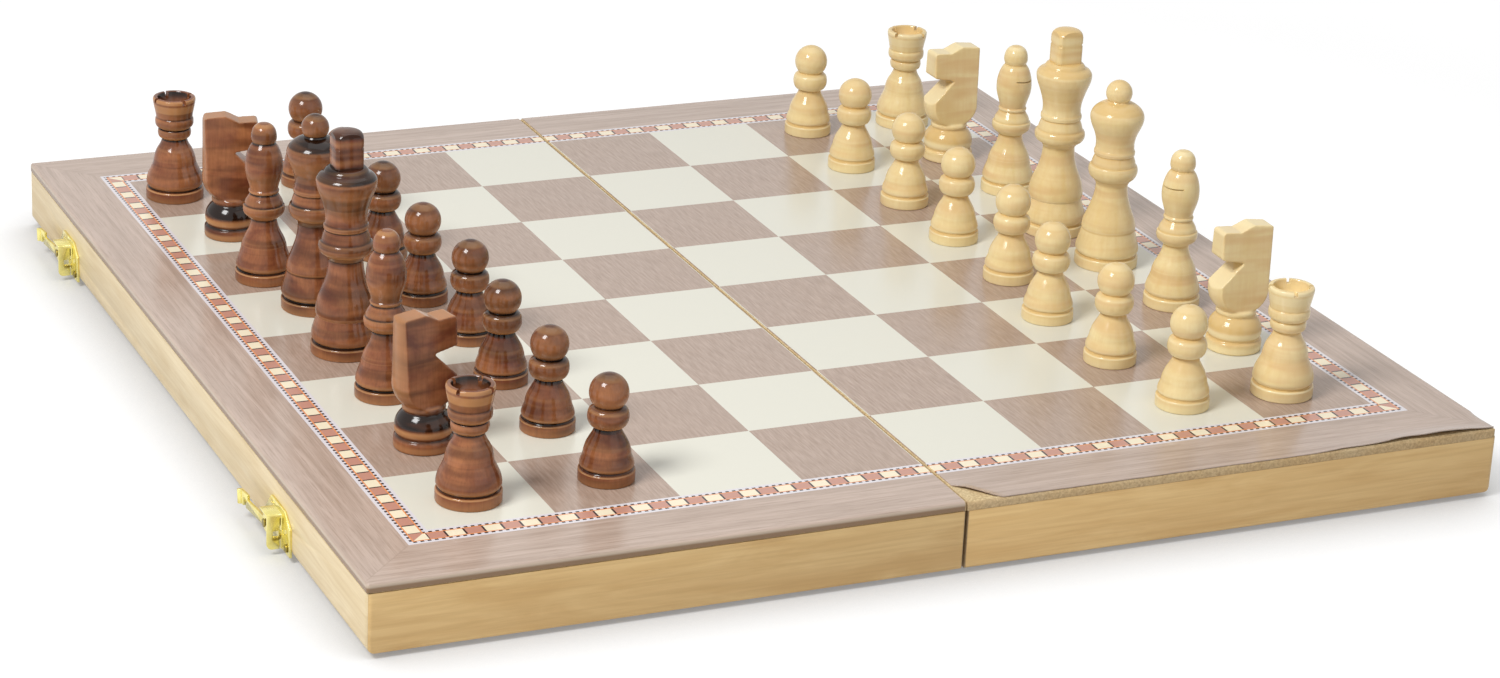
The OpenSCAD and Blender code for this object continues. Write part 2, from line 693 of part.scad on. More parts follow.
color("sienna") left_side() panel();  // left_panel
color("sienna") panel();  // right_panel
color("rosybrown") left_side() film(false);  // left_board_film
color("rosybrown") film(true);  // right_board_film
color("tan") left_side() lining();  // left_lining
color("tan") lining();  // right_lining
color("wheat") left_side() side_rail(-1);  // left_front_rail
color("wheat") side_rail(-1);  // right_front_rail
color("wheat") left_side() side_rail(1);  // left_back_rail
color("wheat") side_rail(1);  // right_back_rail
color("moccasin") left_side() difference() {  // left_end_rail
    end_rail();
    nail_holes(catch_nails, true);
}
color("moccasin") difference() {  // right_end_rail
    end_rail();
    nail_holes(keeper_nails_at, false);
}
color("wheat") left_side() centre_rail();  // left_centre_rail
color("wheat") centre_rail();  // right_centre_rail
left_leaf(-hinge_y);  // front_hinge_left_leaf
right_leaf(-hinge_y);  // front_hinge_right_leaf
left_leaf(hinge_y);  // back_hinge_left_leaf
right_leaf(hinge_y);  // back_hinge_right_leaf
hinge_pins();
color("gold") left_side() hinge_screws();  // left_hinge_screws
color("gold") hinge_screws();  // right_hinge_screws
at_catch(catch_front_y) catch_plate();  // front_catch_plate
at_catch(catch_back_y) catch_plate();  // back_catch_plate
at_catch(catch_front_y) catch_hook();  // front_catch_hook
at_catch(catch_back_y) catch_hook();  // back_catch_hook
catch_pins();
keeper_plates();
keeper_nails();
for (m = men) {
    color("saddlebrown") on_square(0, m[2], m[3], m[5]) man(m[0]);
    color("burlywood") on_square(7, man_file("light", m[0], m[2]), m[4], m[6]) man(m[0]);
}
for (i = [0:7]) {
    color("saddlebrown") on_square(1, i, dark_pawn_offsets[i], 0) pawn();
    color("burlywood") on_square(6, i, light_pawn_offsets[i], 0) pawn();
}
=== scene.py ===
"""Folding chess box, open as a board with its thirty-two men: finishes and fine pieces.

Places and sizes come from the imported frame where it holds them. Names ending in _mm are millimetres,
all others metres. X runs from the dark men's end to the light men's end, Y to the back and Z up.
"""

import enum
import json
import logging
import math
from collections.abc import Callable, Sequence
from dataclasses import dataclass, field
from functools import partial

import bmesh
import bpy
from bmesh.types import BMesh
from bpy.types import Material, Mesh, Node, NodeSocket, NodeTree, Object
from mathutils import Matrix, Vector, noise

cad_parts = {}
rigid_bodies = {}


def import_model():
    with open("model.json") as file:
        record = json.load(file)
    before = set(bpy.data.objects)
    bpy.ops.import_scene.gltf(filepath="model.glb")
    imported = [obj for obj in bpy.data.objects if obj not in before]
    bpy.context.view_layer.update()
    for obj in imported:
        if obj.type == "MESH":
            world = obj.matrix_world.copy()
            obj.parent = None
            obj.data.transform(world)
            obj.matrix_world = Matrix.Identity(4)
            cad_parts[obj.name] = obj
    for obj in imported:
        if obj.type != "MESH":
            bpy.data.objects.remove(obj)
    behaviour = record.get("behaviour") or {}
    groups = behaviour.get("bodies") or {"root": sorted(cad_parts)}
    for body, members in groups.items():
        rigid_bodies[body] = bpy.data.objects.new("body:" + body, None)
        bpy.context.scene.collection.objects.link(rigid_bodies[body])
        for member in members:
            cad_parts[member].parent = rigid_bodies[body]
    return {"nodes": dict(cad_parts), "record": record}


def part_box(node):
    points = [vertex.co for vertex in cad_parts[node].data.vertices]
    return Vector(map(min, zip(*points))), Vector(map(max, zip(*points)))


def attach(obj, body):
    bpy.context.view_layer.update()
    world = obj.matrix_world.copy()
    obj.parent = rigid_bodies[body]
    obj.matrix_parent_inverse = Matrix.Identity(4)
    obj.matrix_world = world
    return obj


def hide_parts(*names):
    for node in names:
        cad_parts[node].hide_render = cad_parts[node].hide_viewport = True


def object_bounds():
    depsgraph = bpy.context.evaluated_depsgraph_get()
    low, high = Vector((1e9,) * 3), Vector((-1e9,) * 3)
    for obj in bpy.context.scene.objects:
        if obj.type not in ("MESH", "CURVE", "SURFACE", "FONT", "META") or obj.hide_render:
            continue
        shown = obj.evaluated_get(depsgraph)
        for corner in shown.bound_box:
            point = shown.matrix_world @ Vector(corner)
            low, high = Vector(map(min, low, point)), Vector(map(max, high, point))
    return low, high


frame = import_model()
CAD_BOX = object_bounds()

log = logging.getLogger("chess_box")
MM = 0.001
Add = Callable[..., Node]


class Side(enum.Enum):
    """The two halves of the box, by the sign of X."""

    LEFT = -1
    RIGHT = 1

    def node(self, part: str) -> str:
        """The frame's name for a part of this half."""
        return f"{self.name.lower()}_{part}"


class Camp(enum.Enum):
    """The two sets of men."""

    DARK = "dark"
    LIGHT = "light"


# ---- colours, nodes and meshes ----


def clamp(value: float) -> float:
    """A value held between 0 and 1."""
    return max(0.0, min(1.0, value))


def linear(code: str) -> tuple[float, float, float, float]:
    """Turns an sRGB hex colour into linear light.

    Args:
        code: six hex digits.

    Returns:
        Linear red, green, blue and a full alpha.
    """
    parts = [int(code[i:i + 2], 16) / 255 for i in (0, 2, 4)]
    low, knee, gain, offset, power = 0.04045, 12.92, 1.055, 0.055, 2.4
    lit = [c / knee if c <= low else ((c + offset) / gain) ** power for c in parts]
    return lit[0], lit[1], lit[2], 1.0


def add_node(tree: NodeTree, kind: str, *values: object, **given: object) -> Node:
    """Adds one node with its settings and links.

    Args:
        tree: the node tree that takes it.
        kind: the node's type, without ShaderNode where it starts so, then its operation, if it has one.
        *values: what its first sockets take, in order: a value, a hex colour, a socket, or a node, whose
            first live output is meant. None leaves a socket as it is.
        **given: the same for sockets by name, each with its capital and _ for a space, and the node's own
            properties, which start with a small letter.

    Returns:
        The new node.
    """
    kind, *operation = kind.split()
    node = tree.nodes.new(kind if kind.startswith(("Geometry", "NodeGroup")) else f"ShaderNode{kind}")
    if operation:
        node.operation = operation[0]
    inputs = list(enumerate(values))
    for name, value in given.items():
        if name[0].isupper():
            inputs.append((name.replace("_", " "), value))
        else:
            setattr(node, name, value)
    for key, value in inputs:
        socket = node.inputs[key]
        if isinstance(value, Node):
            value = next(s for s in value.outputs if s.enabled)
        if isinstance(value, str) and socket.type == "RGBA":
            value = linear(value)
        if isinstance(value, NodeSocket):
            tree.links.new(value, socket)
        elif value is not None:
            socket.default_value = value
    return node


def new_material(name: str) -> tuple[Material, Add, NodeSocket]:
    """Starts a material with an empty node tree.

    Args:
        name: its name.

    Returns:
        The material, the function that adds its nodes, and its Object coordinates.
    """
    material = bpy.data.materials.new(name)
    material.use_nodes = True
    material.node_tree.nodes.clear()
    add = partial(add_node, material.node_tree)
    return material, add, add("TexCoord").outputs["Object"]


def layered(add: Add, ground: object, *layers: tuple[object, object], blend: str = "MIX") -> Node:
    """Lays colours over a ground in turn.

    Args:
        add: adds a node to the material.
        ground: the lowest colour.
        *layers: the share and the colour of each layer.
        blend: how a layer and what lies under it blend.

    Returns:
        A node that gives the colour.
    """
    for share, tint in layers:
        ground = add("Mix", share, *[None] * 5, ground, tint, data_type="RGBA", blend_type=blend)
    return ground


def finished(add: Add, colour: Node, relief: Node, strength: float, depth_mm: float,
             **sockets: object) -> None:
    """Ends a material in one surface with a fine relief.

    Args:
        add: adds a node to the material.
        colour: gives the surface's colour.
        relief: gives its height, from 0 to 1.
        strength: how much of the relief shows.
        depth_mm: the relief's depth.
        **sockets: the surface's other values.
    """
    bump = add("Bump", Strength=strength, Distance=depth_mm * MM, Height=relief)
    add("OutputMaterial", add("BsdfPrincipled", Base_Color=colour, Normal=bump, **sockets))


def new_object(name: str, mesh: Mesh) -> Object:
    """Links a mesh into the scene at the origin.

    Args:
        name: the object's name.
        mesh: its mesh.

    Returns:
        The new object.
    """
    obj = bpy.data.objects.new(name, mesh)
    bpy.context.scene.collection.objects.link(obj)
    return obj


def mesh_of(name: str, shape: BMesh) -> Mesh:
    """Writes a bmesh out as a mesh and frees it.

    Args:
        name: the mesh's name.
        shape: the bmesh.

    Returns:
        The new mesh.
    """
    mesh = bpy.data.meshes.new(name)
    shape.to_mesh(mesh)
    shape.free()
    return mesh


def joined(name: str, *parts: Object) -> Mesh:
    """Puts the meshes of objects in one mesh and removes the objects.

    Args:
        name: the mesh's name.
        *parts: the objects.

    Returns:
        The new mesh.
    """
    shape = bmesh.new()
    for part in parts:
        shape.from_mesh(part.data)
        bpy.data.objects.remove(part)
    return mesh_of(name, shape)


def closed(mesh: Mesh, merge_mm: float = 0.002, sliver_mm: float = 0.0002) -> Mesh:
    """Merges a mesh's doubles and turns its faces outwards.

    Args:
        mesh: the mesh, changed in place.
        merge_mm: how near two points must lie to become one.
        sliver_mm: how thin a face must be to go.

    Returns:
        The same mesh.
    """
    shape = bmesh.new()
    shape.from_mesh(mesh)
    bmesh.ops.remove_doubles(shape, verts=shape.verts, dist=merge_mm * MM)
    bmesh.ops.dissolve_degenerate(shape, edges=shape.edges, dist=sliver_mm * MM)
    bmesh.ops.recalc_face_normals(shape, faces=shape.faces)
    shape.to_mesh(mesh)
    shape.free()
    return mesh


def shade(mesh: Mesh, material: Material, sharp_deg: float = 35) -> None:
    """Gives a mesh one material and smooth shading with its sharp edges kept.

    Args:
        mesh: the mesh.
        material: its finish.
        sharp_deg: the least angle of an edge that stays sharp.
    """
    mesh.materials.clear()
    mesh.materials.append(material)
    mesh.polygons.foreach_set("material_index", [0] * len(mesh.polygons))
    mesh.shade_smooth()
    mesh.set_sharp_from_angle(angle=math.radians(sharp_deg))


def evaluated(obj: Object) -> Mesh:
    """Makes a plain mesh of what an object's modifiers make, and removes them.

    Args:
        obj: the object.

    Returns:
        The new mesh.
    """
    graph = bpy.context.evaluated_depsgraph_get()
    mesh = bpy.data.meshes.new_from_object(obj.evaluated_get(graph))
    obj.modifiers.clear()
    return mesh


def stand_for(obj: Object, node: str) -> None:
    """Makes a piece stand for a node: it rides on the node's body and the node is hidden.

    Args:
        obj: the piece.
        node: the frame's node.
    """
    record = frame["record"]
    body = next(name for name, nodes in record["behaviour"]["bodies"].items() if node in nodes)
    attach(obj, body)
    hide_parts(node)
    log.info("%s: %d faces on %s", obj.name, len(obj.data.polygons), body)


def softened(node: str, name: str, material: Material, width_mm: float,
             reshape: Callable[[Vector], None] | None = None) -> None:
    """Makes a copy of a node's shape with its sharp edges eased, which stands for the node.

    Args:
        node: the frame's node.
        name: the new piece's name.
        material: its finish.
        width_mm: width of the eased edge.
        reshape: moves each point of the copy before the edges are eased.
    """
    shape = bmesh.new()
    shape.from_mesh(frame["nodes"][node].data)
    bmesh.ops.remove_doubles(shape, verts=shape.verts, dist=0.001 * MM)
    if reshape:
        for vert in shape.verts:
            reshape(vert.co)
    bmesh.ops.dissolve_limit(shape, angle_limit=math.radians(1), verts=shape.verts, edges=shape.edges)
    bmesh.ops.recalc_face_normals(shape, faces=shape.faces)
    obj = new_object(name, mesh_of(name, shape))
    bevel = obj.modifiers.new("eased edges", "BEVEL")
    bevel.width = width_mm * MM
    bevel.segments = 2
    bevel.limit_method = "ANGLE"
    bevel.angle_limit = math.radians(40)
    bevel.use_clamp_overlap = True
    obj.data = evaluated(obj)
    shade(obj.data, material)
    stand_for(obj, node)


# ---- finishes ----


@dataclass(frozen=True)
class PineFinish:
    """Pine strip, planed and rubbed with satin varnish: long pale streaks and a soft sheen."""

    name: str
    along: int  # axis of the grain: 0 for X, 1 for Y
    pale: str
    mid: str
    dark: str
    grain_mm: float = 1.1  # width of one streak, coarse enough to show
    stretch: float = 38.0  # length of a streak over its width
    figure_mm: float = 8.0  # width of the broad figure
    figure_stretch: float = 7.0
    roughness: float = 0.42
    painted_fold_shade: str = "6E4728"  # painted shade on the faces that meet at the fold
    painted_fold_shade_mm: float = 0.35

    def make(self) -> Material:
        """Builds the material.

        Returns:
            The material.
        """
        material, add, place = new_material(self.name)
        noises = []
        for width_mm, stretch, detail, roughness, distortion in (
                (self.grain_mm, self.stretch, 5.0, 0.62, 0.3),
                (self.figure_mm, self.figure_stretch, 4.0, 0.55, 1.4)):
            scale = [1 / (width_mm * MM)] * 3
            scale[self.along] /= stretch
            noises.append(add("TexNoise", Vector=add("Mapping", place, Scale=scale), Scale=1.0,
                              Detail=detail, Roughness=roughness, Distortion=distortion))
        fine, wide = noises
        axes = add("SeparateXYZ", place)
        from_fold, aside = (add("Math ABSOLUTE", axes.outputs[axis]) for axis in "XY")
        fold, front = (abs(value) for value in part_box("right_front_rail")[0][:2])
        # painted shade: the rail faces at the fold darken near the front, where the gap between the halves
        # lies in shade
        near_front = add("MapRange", aside, front - 10 * MM, front - 5 * MM, 0.0, 0.5)
        painted_fold_shade = add("MapRange", from_fold, fold + 0.1 * MM, fold + self.painted_fold_shade_mm * MM, near_front, 0.0)
        colour = layered(add, self.pale, (add("MapRange", wide, 0.35, 0.66, 0.0, 1.0), self.mid),
                         (add("MapRange", fine, 0.42, 0.75, 0.0, 0.34), self.dark), (painted_fold_shade, self.painted_fold_shade))
        rough = add("MapRange", fine, 0.3, 0.7, self.roughness - 0.06, self.roughness + 0.08)
        finished(add, colour, fine, 0.25, 0.08, Roughness=rough, IOR=1.5)
        return material


@dataclass(frozen=True)
class FibreboardFinish:
    """Sawn hardboard edge: pressed brown fibres, dry and matt, with a fine speckle."""

    pale: str = "CDB893"
    dark: str = "A08A69"
    face: str = "DCCBA4"  # the smooth upper face, where the film has come off
    cloud: str = "B09A80"
    fibre_mm: float = 0.9

    def make(self) -> Material:
        """Builds the material.

        Returns:
            The material.
        """
        material, add, place = new_material("hardboard sawn edge")
        fibres = add("TexNoise", Vector=place, Scale=1 / (self.fibre_mm * MM), Detail=4.0, Roughness=0.7)
        clouds = add("TexNoise", Vector=place, Scale=1 / (12 * self.fibre_mm * MM), Detail=3.0)
        height = add("SeparateXYZ", place).outputs["Z"]
        on_face = add("Math GREATER_THAN", height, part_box("left_panel")[1][2] - 0.1 * MM)
        tone = layered(add, self.pale, (on_face, self.face),
                       (add("MapRange", fibres, 0.34, 0.66, 0.0, 0.8), self.dark))
        colour = layered(add, tone, (clouds, self.cloud), blend="SOFT_LIGHT")
        finished(add, colour, fibres, 0.5, 0.1, Roughness=0.85)
        return material


@dataclass
class BoardPrint:
    """Printed film under clear gloss: cream and walnut squares, a marquetry band, a walnut border.

    Every distance in its nodes is in millimetres.
    """

    square_mm: float = 42.0
    strip_mm: float = 1.0  # between the squares and the fold, on each half
    band_mm: float = 9.0
    tile_mm: float = 4.2  # width of the row of tiles in the middle of the band
    fold_tile_mm: float = 5.0  # length of the tiles that meet at the fold
    side_tiles: int = 27  # whole tiles from there to the corner, at the front and back
    end_tiles: int = 55  # tiles along each end
    corner_mm: float = 3.0  # from the band's middle line to the corner tiles
    joint_mm: float = 0.7  # black line between two tiles
    thread_mm: float = 0.5  # orange line beside the tiles
    dash_mm: float = 2.3  # one black dash and its gap
    dash_share: float = 0.52
    dash_wide_mm: float = 0.85
    side_mm: float = 2.6  # height of the film down the board's sides

    cream: str = "DDDBCD"
    walnut_pale: str = "B9A394"
    walnut_dark: str = "97806F"
    border_pale: str = "C1AC9E"
    border_mid: str = "A99485"
    border_dark: str = "8A7566"
    tile_red: str = "C18C7A"
    tile_cream: str = "EFE3C6"
    thread: str = "E3935C"
    ink: str = "352A2C"
    white: str = "DAD6DA"
    side_high: str = "B8A591"  # where the film runs down the board's sides, below its rounding
    side_shade: str = "846749"  # painted shade towards its lower edge, where the wrap ends

    def make(self) -> Material:
        """Builds the material.

        Returns:
            The material.
        """
        material, self.add, place = new_material("glossy printed film")
        add = self.add
        half_mm = 4 * self.square_mm
        in_mm = add("VectorMath SCALE", place, Scale=1 / MM)
        self.x, self.y, z = add("SeparateXYZ", in_mm).outputs
        self.far_x = add("Math ABSOLUTE", self.x)
        self.out_x = add("Math SUBTRACT", self.far_x, self.strip_mm + half_mm)
        self.out_y = add("Math SUBTRACT", add("Math ABSOLUTE", self.y), half_mm)
        self.out = add("Math MAXIMUM", self.out_x, self.out_y)
        self.is_end = add("Math GREATER_THAN", self.out_x, self.out_y)

        in_band = add("Math GREATER_THAN", self.out, 0.0)
        in_border = add("Math GREATER_THAN", self.out, self.band_mm)
        top_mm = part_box("left_board_film")[1][2] / MM
        on_side = add("MapRange", z, top_mm - 0.7, top_mm - 0.3, 1.0, 0.0)
        # painted shade: the film's sides darken towards their lower edge
        side_shade_share = add("MapRange", z, top_mm - 0.65 * self.side_mm, top_mm - 0.4 * self.side_mm, 1.0, 0.0)
        edge = layered(add, self.side_high, (side_shade_share, self.side_shade))
        colour = layered(add, self.squares(), (in_band, self.band()), (in_border, self.border()),
                         (on_side, edge))

        ripple = add("TexNoise", Vector=in_mm, Scale=0.12, Detail=2.0)
        smear = add("TexNoise", Vector=in_mm, Scale=0.03, Detail=4.0, Roughness=0.6)
        rough = add("MapRange", smear, 0.3, 0.7, 0.17, 0.27)
        finished(add, colour, ripple, 0.12, 0.2, Roughness=rough, IOR=1.5)
        return material

    def squares(self) -> Node:
        """Colours the squares, each walnut one a little apart from the others.

        Returns:
            A node that gives the colour.
        """
        add = self.add
        strip = add("Math MULTIPLY", add("Math SIGN", self.x), self.strip_mm)
        cell = add("CombineXYZ", add("Math SUBTRACT", self.x, strip), self.y, self.square_mm / 2)
        checks = add("TexChecker", Vector=cell, Scale=1 / self.square_mm, Color1="000000", Color2="FFFFFF")
        streaks = add("TexNoise", Vector=add("Mapping", cell, Scale=(1.3, 0.11, 1.0)), Scale=1.0,
                      Detail=4.0, Roughness=0.6)
        index = add("VectorMath FLOOR", add("VectorMath DIVIDE", cell, [self.square_mm] * 3))
        lot = add("Math MULTIPLY", add("TexWhiteNoise", index).outputs["Value"], 0.22)
        walnut = layered(add, self.walnut_pale,
                         (add("MapRange", streaks, 0.3, 0.75, 0.0, 1.0), self.walnut_dark),
                         (lot, self.border_mid))
        return layered(add, self.cream, (checks.outputs["Fac"], walnut))

    def band(self) -> Node:
        """Colours the marquetry band round the squares: tiles between threads, dashes and white lines.

        Returns:
            A node that gives the colour.
        """
        add = self.add
        middle = self.band_mm / 2
        to_corner = middle - self.corner_mm
        reach = 4 * self.square_mm + to_corner
        side_len = (self.strip_mm + reach - self.fold_tile_mm) / self.side_tiles
        end_len = 2 * reach / self.end_tiles
        apart = add("Math ABSOLUTE", add("Math SUBTRACT", self.out, middle))

        side_tile = add("Math DIVIDE", add("Math SUBTRACT", self.far_x, self.fold_tile_mm), side_len)
        end_tile = add("Math ADD", add("Math DIVIDE", self.y, end_len), self.end_tiles / 2 + 1)
        tile = add("Mix", self.is_end, None, side_tile, end_tile)
        along = add("Mix", self.is_end, None, self.far_x, self.y)
        odd = add("Math FLOORED_MODULO", add("Math FLOOR", tile), 2.0)
        from_mid = add("Math SUBTRACT", add("Math FRACT", tile), 0.5)
        joint = add("Math GREATER_THAN", add("Math ABSOLUTE", from_mid), 0.5 - self.joint_mm / 2 / side_len)
        in_corner = add("Math MULTIPLY", *(add("Math GREATER_THAN", out, to_corner)
                                           for out in (self.out_x, self.out_y)))
        triangle = layered(add, self.tile_cream, (self.is_end, self.tile_red))

        thread_edge = self.tile_mm / 2 + self.thread_mm
        past_tiles = add("Math GREATER_THAN", apart, self.tile_mm / 2)
        past_thread = add("Math GREATER_THAN", apart, thread_edge)
        dash_part = add("Math FRACT", add("Math DIVIDE", along, self.dash_mm))
        is_dash = add("Math LESS_THAN", dash_part, self.dash_share)
        dash_row = add("Math COMPARE", apart, thread_edge + self.dash_wide_mm / 2, self.dash_wide_mm / 2)
        lines = layered(add, self.white, (add("Math MULTIPLY", is_dash, dash_row), self.ink))
        return layered(add, self.tile_red, (odd, self.tile_cream), (joint, self.ink),
                       (in_corner, triangle), (past_tiles, self.thread), (past_thread, lines))

    def border(self) -> Node:
        """Colours the walnut border, whose grain runs along each edge and meets in mitres.

        Returns:
            A node that gives the colour.
        """
        add = self.add
        along = add("Mix", self.is_end, None, self.x, self.y)
        edge = add("Mix", self.is_end, None, self.y, self.x)
        lane = add("Math MULTIPLY_ADD", add("Math SIGN", edge), 40.0, self.is_end)
        sheet = add("CombineXYZ", along, self.out, lane)
        streaks = add("TexNoise", Vector=add("Mapping", sheet, Scale=(0.016, 0.42, 1.0)), Scale=1.0,
                      Detail=6.0, Roughness=0.62, Distortion=0.5)
        pores = add("TexNoise", Vector=add("Mapping", sheet, Scale=(0.09, 1.9, 1.0)), Scale=1.0, Detail=3.0,
                    Roughness=0.6)
        mitre = add("Math COMPARE", add("Math SUBTRACT", self.out_x, self.out_y), 0.0, 0.35)
        return layered(add, self.border_pale,
                       (add("MapRange", streaks, 0.36, 0.66, 0.0, 1.0), self.border_mid),
                       (add("MapRange", pores, 0.5, 0.75, 0.0, 0.55), self.border_dark),
                       (add("Math MULTIPLY", mitre, 0.2), self.border_dark))


@dataclass(frozen=True)
class LiningPrint:
    """Printed card lining: backgammon points in red-brown and cream on a tan ground."""

    points: int = 6
    length_share: float = 0.4  # of the tray's length along Y
    ground: str = "C9A877"
    dark: str = "7A3B2A"
    pale: str = "EBDDB4"

    def make(self, side: Side) -> Material:
        """Builds the material for one half's lining, measured from its node.

        Args:
            side: the half.

        Returns:
            The material.
        """
        low, high = (Vector(corner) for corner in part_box(side.node("lining")))
        size = high - low
        material, add, place = new_material(f"printed card {side.name.lower()}")
        share = add("VectorMath DIVIDE", add("VectorMath SUBTRACT", place, low),
                    (size.x / self.points, size.y / 2, 1.0))
        x, y, _ = add("SeparateXYZ", share).outputs
        reach = add("Math ABSOLUTE", add("Math SUBTRACT", add("Math FRACT", x), 0.5))
        to_edge = add("Math ABSOLUTE", add("Math SUBTRACT", y, 1.0))
        from_rail = add("Math SUBTRACT", 1.0, to_edge)
        width = add("MapRange", from_rail, 0.0, 2 * self.length_share, 0.46, 0.0)
        number = add("Math ADD", add("Math FLOOR", x), add("Math GREATER_THAN", y, 1.0))
        point = layered(add, self.dark, (add("Math FLOORED_MODULO", number, 2.0), self.pale))
        specks = add("TexNoise", Vector=place, Scale=900.0, Detail=3.0)
        colour = layered(add, self.ground, (add("Math LESS_THAN", reach, width), point),
                         (add("MapRange", specks, 0.35, 0.75, 0.0, 0.18), self.ground))
        add("OutputMaterial", add("BsdfPrincipled", Base_Color=colour, Roughness=0.5))
        return material


@dataclass(frozen=True)
class BrassFinish:
    """Brass-plated pressed steel: polished, with faint wipe marks and a bright edge."""

    name: str
    colour: str
    tarnish: str
    roughness: float
    mark_mm: float = 0.6

    def make(self) -> Material:
        """Builds the material.

        Returns:
            The material.
        """
        material, add, place = new_material(self.name)
        marks = add("TexNoise", Vector=place, Scale=1 / (self.mark_mm * MM), Detail=4.0, Roughness=0.6)
        clouds = add("TexNoise", Vector=place, Scale=1 / (8 * self.mark_mm * MM), Detail=2.0)
        colour = layered(add, self.colour, (add("MapRange", clouds, 0.45, 0.75, 0.0, 0.6), self.tarnish))
        rough = add("MapRange", marks, 0.3, 0.7, self.roughness - 0.05, self.roughness + 0.1)
        finished(add, colour, marks, 0.15, 0.05, Metallic=1.0, Roughness=rough)
        return material


@dataclass(frozen=True)
class LacquerFinish:
    """Turned hardwood, stained and dipped in gloss lacquer, with scorched grooves and worn ridges.

    The attributes scorch and wear say how burnt or rubbed a point is.
    """

    camp: Camp
    pale: str
    mid: str
    deep: str
    scorch: str
    wear: str
    figure: float  # how strongly the grain and the burnt rings show
    grain_mm: float = 0.8
    blotch_mm: float = 10.0
    ring_mm: float = 4.4
    lathe_mark_mm: float = 0.625

    def make(self) -> Material:
        """Builds the material.

        Returns:
            The material.
        """
        material, add, place = new_material(f"gloss lacquered {self.camp.value} wood")
        grain, blotches, rings = (
            add("TexNoise", Vector=add("Mapping", place, Scale=[1 / (mm * MM) for mm in (wide, wide, high)]),
                Scale=1.0, Detail=detail, Roughness=0.6, Distortion=0.4)
            for wide, high, detail in ((self.grain_mm, 20 * self.grain_mm, 4.0),
                                       (1.6 * self.blotch_mm, self.blotch_mm, 3.0),
                                       (7 * self.ring_mm, self.ring_mm, 1.5)))
        colour = layered(add, self.pale, (add("MapRange", blotches, 0.36, 0.64, 0.0, 1.0), self.mid),
                         (add("MapRange", rings, 0.44, 0.7, 0.0, 0.7 * self.figure), self.deep),
                         (add("MapRange", grain, 0.4, 0.75, 0.0, 0.3 * self.figure), self.deep))
        for name, tint, patches in (("wear", self.wear, blotches), ("scorch", self.scorch, rings)):
            given = add("Attribute", attribute_name=name).outputs["Fac"]
            patchy = add("MapRange", patches, 0.3, 0.6, 0.65, 1.15)
            colour = layered(add, colour, (add("Math MULTIPLY", given, patchy, use_clamp=True), tint))
        turned = add("Mapping", place, Scale=(1.0, 1.0, 1 / (self.lathe_mark_mm * MM)))
        marks = add("TexNoise", Vector=turned, Scale=1.0, Detail=2.0)
        finished(add, colour, marks, 0.2, 0.06, Roughness=0.5, Specular_IOR_Level=0.0,
                 Coat_Weight=0.7, Coat_Roughness=0.12, Coat_IOR=1.5)
        return material


class Finishes:
    """All materials of the object, made once."""

    def __init__(self) -> None:
        """Builds every material."""
        self.print = BoardPrint().make()
        self.core = FibreboardFinish().make()
        self.pine_x = PineFinish("satin pine, grain along X", 0, "D9B87F", "CBA66C", "AA824E").make()
        self.pine_y = PineFinish("satin pine, grain along Y", 1, "DFCDA8", "D2BC92", "B89D72").make()
        self.lining = {side: LiningPrint().make(side) for side in Side}
        self.brass = BrassFinish("polished brass plate", "F6EA98", "C6B14C", 0.18).make()
        # darker than the plates: partly the pins' own dull tarnish, partly painted shade for each catch's
        # window and joint
        self.rivet_and_catch_shade = BrassFinish("dull brass rivet", "9C8C48", "5E5028", 0.35).make()
        self.hinge_brass = BrassFinish("dull brass plate", "CDAF62", "9A7C3C", 0.34).make()
        dark = LacquerFinish(Camp.DARK, "A66A43", "763F29", "42200F", "1C0D06", "BA8656", 1.0)
        light = LacquerFinish(Camp.LIGHT, "EDD9A4", "E5CC92", "D9B07A", "DBBA7C", "F1E0B2", 0.85, 1.3)
        self.lacquer = {finish.camp: finish.make() for finish in (dark, light)}


# ---- the board's two halves ----


